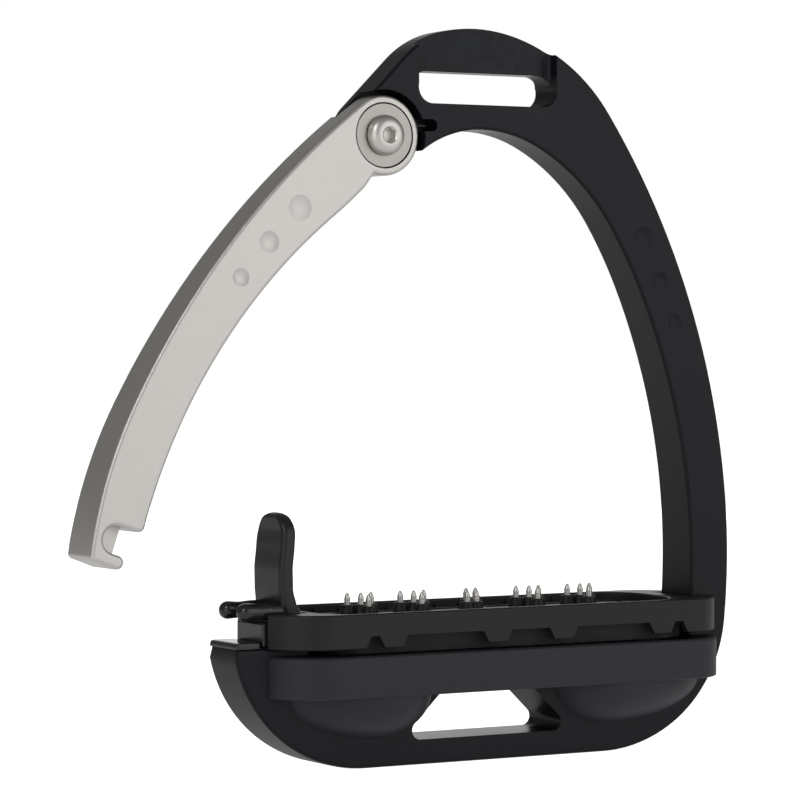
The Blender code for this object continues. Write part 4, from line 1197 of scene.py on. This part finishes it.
class IRON_OT_tread(bpy.types.Operator):
    """Build the tread with its rim, grid, studs and screws"""
    bl_idname = "iron.build_tread"
    bl_label = "Tread"

    def execute(self, context):
        looks = finishes()
        tread = context.scene.iron_tread
        edges = context.scene.iron_edges
        piece("tread_rim", tread_body_mesh(tread, edges), looks["nylon"], "frame",
              ("tread_body",))
        piece("tread_top_grid", grid_mesh(), looks["nylon"], "frame", ("tread_grid",))
        for i, (x, y) in enumerate(stud_places()):
            piece(f"stud_{i + 1:02d}", stud_mesh(tread, x, y), looks["polished"], "frame",
                  (f"tread_stud_{i + 1:02d}",), 50.0)
        for i, (x, y) in enumerate(SCREW_SPOTS):
            piece(f"countersunk_screw_{i + 1}", tread_screw_mesh(x, y), looks["washer"], "frame",
                  (f"tread_screw_{i + 1}",))
        return {"FINISHED"}


class IRON_OT_inner(bpy.types.Operator):
    """Give the inner pieces their finishes"""
    bl_idname = "iron.dress_inner"
    bl_label = "Inner pieces"

    def execute(self, context):
        looks = finishes()
        for node, look in KEPT.items():
            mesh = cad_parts[node].data
            mesh.materials.clear()
            mesh.materials.append(looks[look])
        return {"FINISHED"}


class IRON_OT_stage(bpy.types.Operator):
    """Set up the floor, the light and the camera"""
    bl_idname = "iron.set_stage"
    bl_label = "Stage"

    def execute(self, context):
        scene = context.scene
        stage = scene.iron_stage
        add_floor(stage)
        add_surround(scene, stage)
        for name, place, target, size, setting, share in LIGHTS:
            soft_light(name, place, target, size, getattr(stage, setting) * share)
        lens = bpy.data.cameras.new("front_left")
        lens.lens = CAMERA_LENS
        lens.sensor_width = CAMERA_SENSOR
        lens.clip_end = 20.0
        camera = new_object("front_left", lens)
        camera.location = CAMERA_PLACE
        camera.rotation_euler = [math.radians(angle) for angle in CAMERA_ANGLES]
        scene.camera = camera
        scene.view_settings.view_transform = "Standard"
        return {"FINISHED"}


def add_floor(stage):
    bm = bmesh.new()
    bmesh.ops.create_grid(bm, x_segments=1, y_segments=1, size=6.0)
    bmesh.ops.translate(bm, verts=bm.verts, vec=(0, 0, -0.00005))
    mesh = finished_mesh(bm)
    obj = new_object("floor", mesh)
    pale = finish("pale_floor", tuple(stage.floor_colour), 0.9, grain=(300.0, 6.0), bump=0.0, tint=0.01,
                  specular=0.1)
    links = pale.node_tree.links
    path = add_node(pale.node_tree, "ShaderNodeLightPath")
    glow = add_node(pale.node_tree, "ShaderNodeMapRange", To_Min=stage.floor_glow * 0.35,
                    To_Max=stage.floor_glow)
    shader = pale.node_tree.nodes["Principled BSDF"]
    shader.inputs["Emission Color"].default_value = (1.0, 1.0, 1.0, 1.0)
    links.new(path.outputs["Is Camera Ray"], glow.inputs["Value"])
    links.new(glow.outputs["Result"], shader.inputs["Emission Strength"])
    mesh.materials.append(pale)


def add_surround(scene, stage):
    world = bpy.data.worlds.new("pale_surround")
    world.use_nodes = True
    tree = world.node_tree
    links = tree.links
    backdrop = tree.nodes["Background"]
    backdrop.inputs["Color"].default_value = (1.0, 1.0, 1.0, 1.0)
    backdrop.inputs["Strength"].default_value = 1.0
    ambient = add_node(tree, "ShaderNodeBackground", Color=(1.0, 0.995, 0.985, 1.0), Strength=stage.surround)
    path = add_node(tree, "ShaderNodeLightPath")
    mix = add_node(tree, "ShaderNodeMixShader")
    links.new(path.outputs["Is Camera Ray"], mix.inputs["Fac"])
    links.new(ambient.outputs["Background"], mix.inputs[1])
    links.new(backdrop.outputs["Background"], mix.inputs[2])
    links.new(mix.outputs["Shader"], tree.nodes["World Output"].inputs["Surface"])
    scene.world = world


def soft_light(name, place, target, size, power):
    light = bpy.data.lights.new(name, "AREA")
    light.size = size
    light.energy = power
    obj = new_object(name, light)
    obj.location = place
    obj.rotation_euler = (Vector(target) - Vector(place)).to_track_quat("-Z", "Y").to_euler()


class IRON_PT_panel(bpy.types.Panel):
    """Lists the settings and the build steps"""
    bl_idname = "IRON_PT_panel"
    bl_label = "Safety Stirrup Iron"
    bl_space_type = "VIEW_3D"
    bl_region_type = "UI"
    bl_category = "Stirrup"

    def draw(self, context):
        for group in ("iron_finish", "iron_edges", "iron_tread", "iron_stage"):
            settings = getattr(context.scene, group)
            box = self.layout.box()
            for key in settings.__annotations__:
                box.prop(settings, key)
        for operator in STEPS:
            self.layout.operator(operator.bl_idname)


SETTINGS = (("iron_finish", IronFinish), ("iron_edges", IronEdges), ("iron_tread", IronTread),
            ("iron_stage", IronStage))
STEPS = (IRON_OT_frame, IRON_OT_arm, IRON_OT_hinge, IRON_OT_latch, IRON_OT_tread, IRON_OT_inner,
         IRON_OT_stage)


def register():
    for _, group in SETTINGS:
        bpy.utils.register_class(group)
    for cls in (*STEPS, IRON_PT_panel):
        bpy.utils.register_class(cls)
    for name, group in SETTINGS:
        setattr(bpy.types.Scene, name, bpy.props.PointerProperty(type=group))


def unregister():
    for name, _ in SETTINGS:
        delattr(bpy.types.Scene, name)
    for cls in (IRON_PT_panel, *reversed(STEPS)):
        bpy.utils.unregister_class(cls)
    for _, group in reversed(SETTINGS):
        bpy.utils.unregister_class(group)


def main():
    register()
    bpy.ops.iron.build_frame()
    bpy.ops.iron.build_arm()
    bpy.ops.iron.build_hinge()
    bpy.ops.iron.build_latch()
    bpy.ops.iron.build_tread()
    bpy.ops.iron.dress_inner()
    bpy.ops.iron.set_stage()


if __name__ == "__main__":
    main()
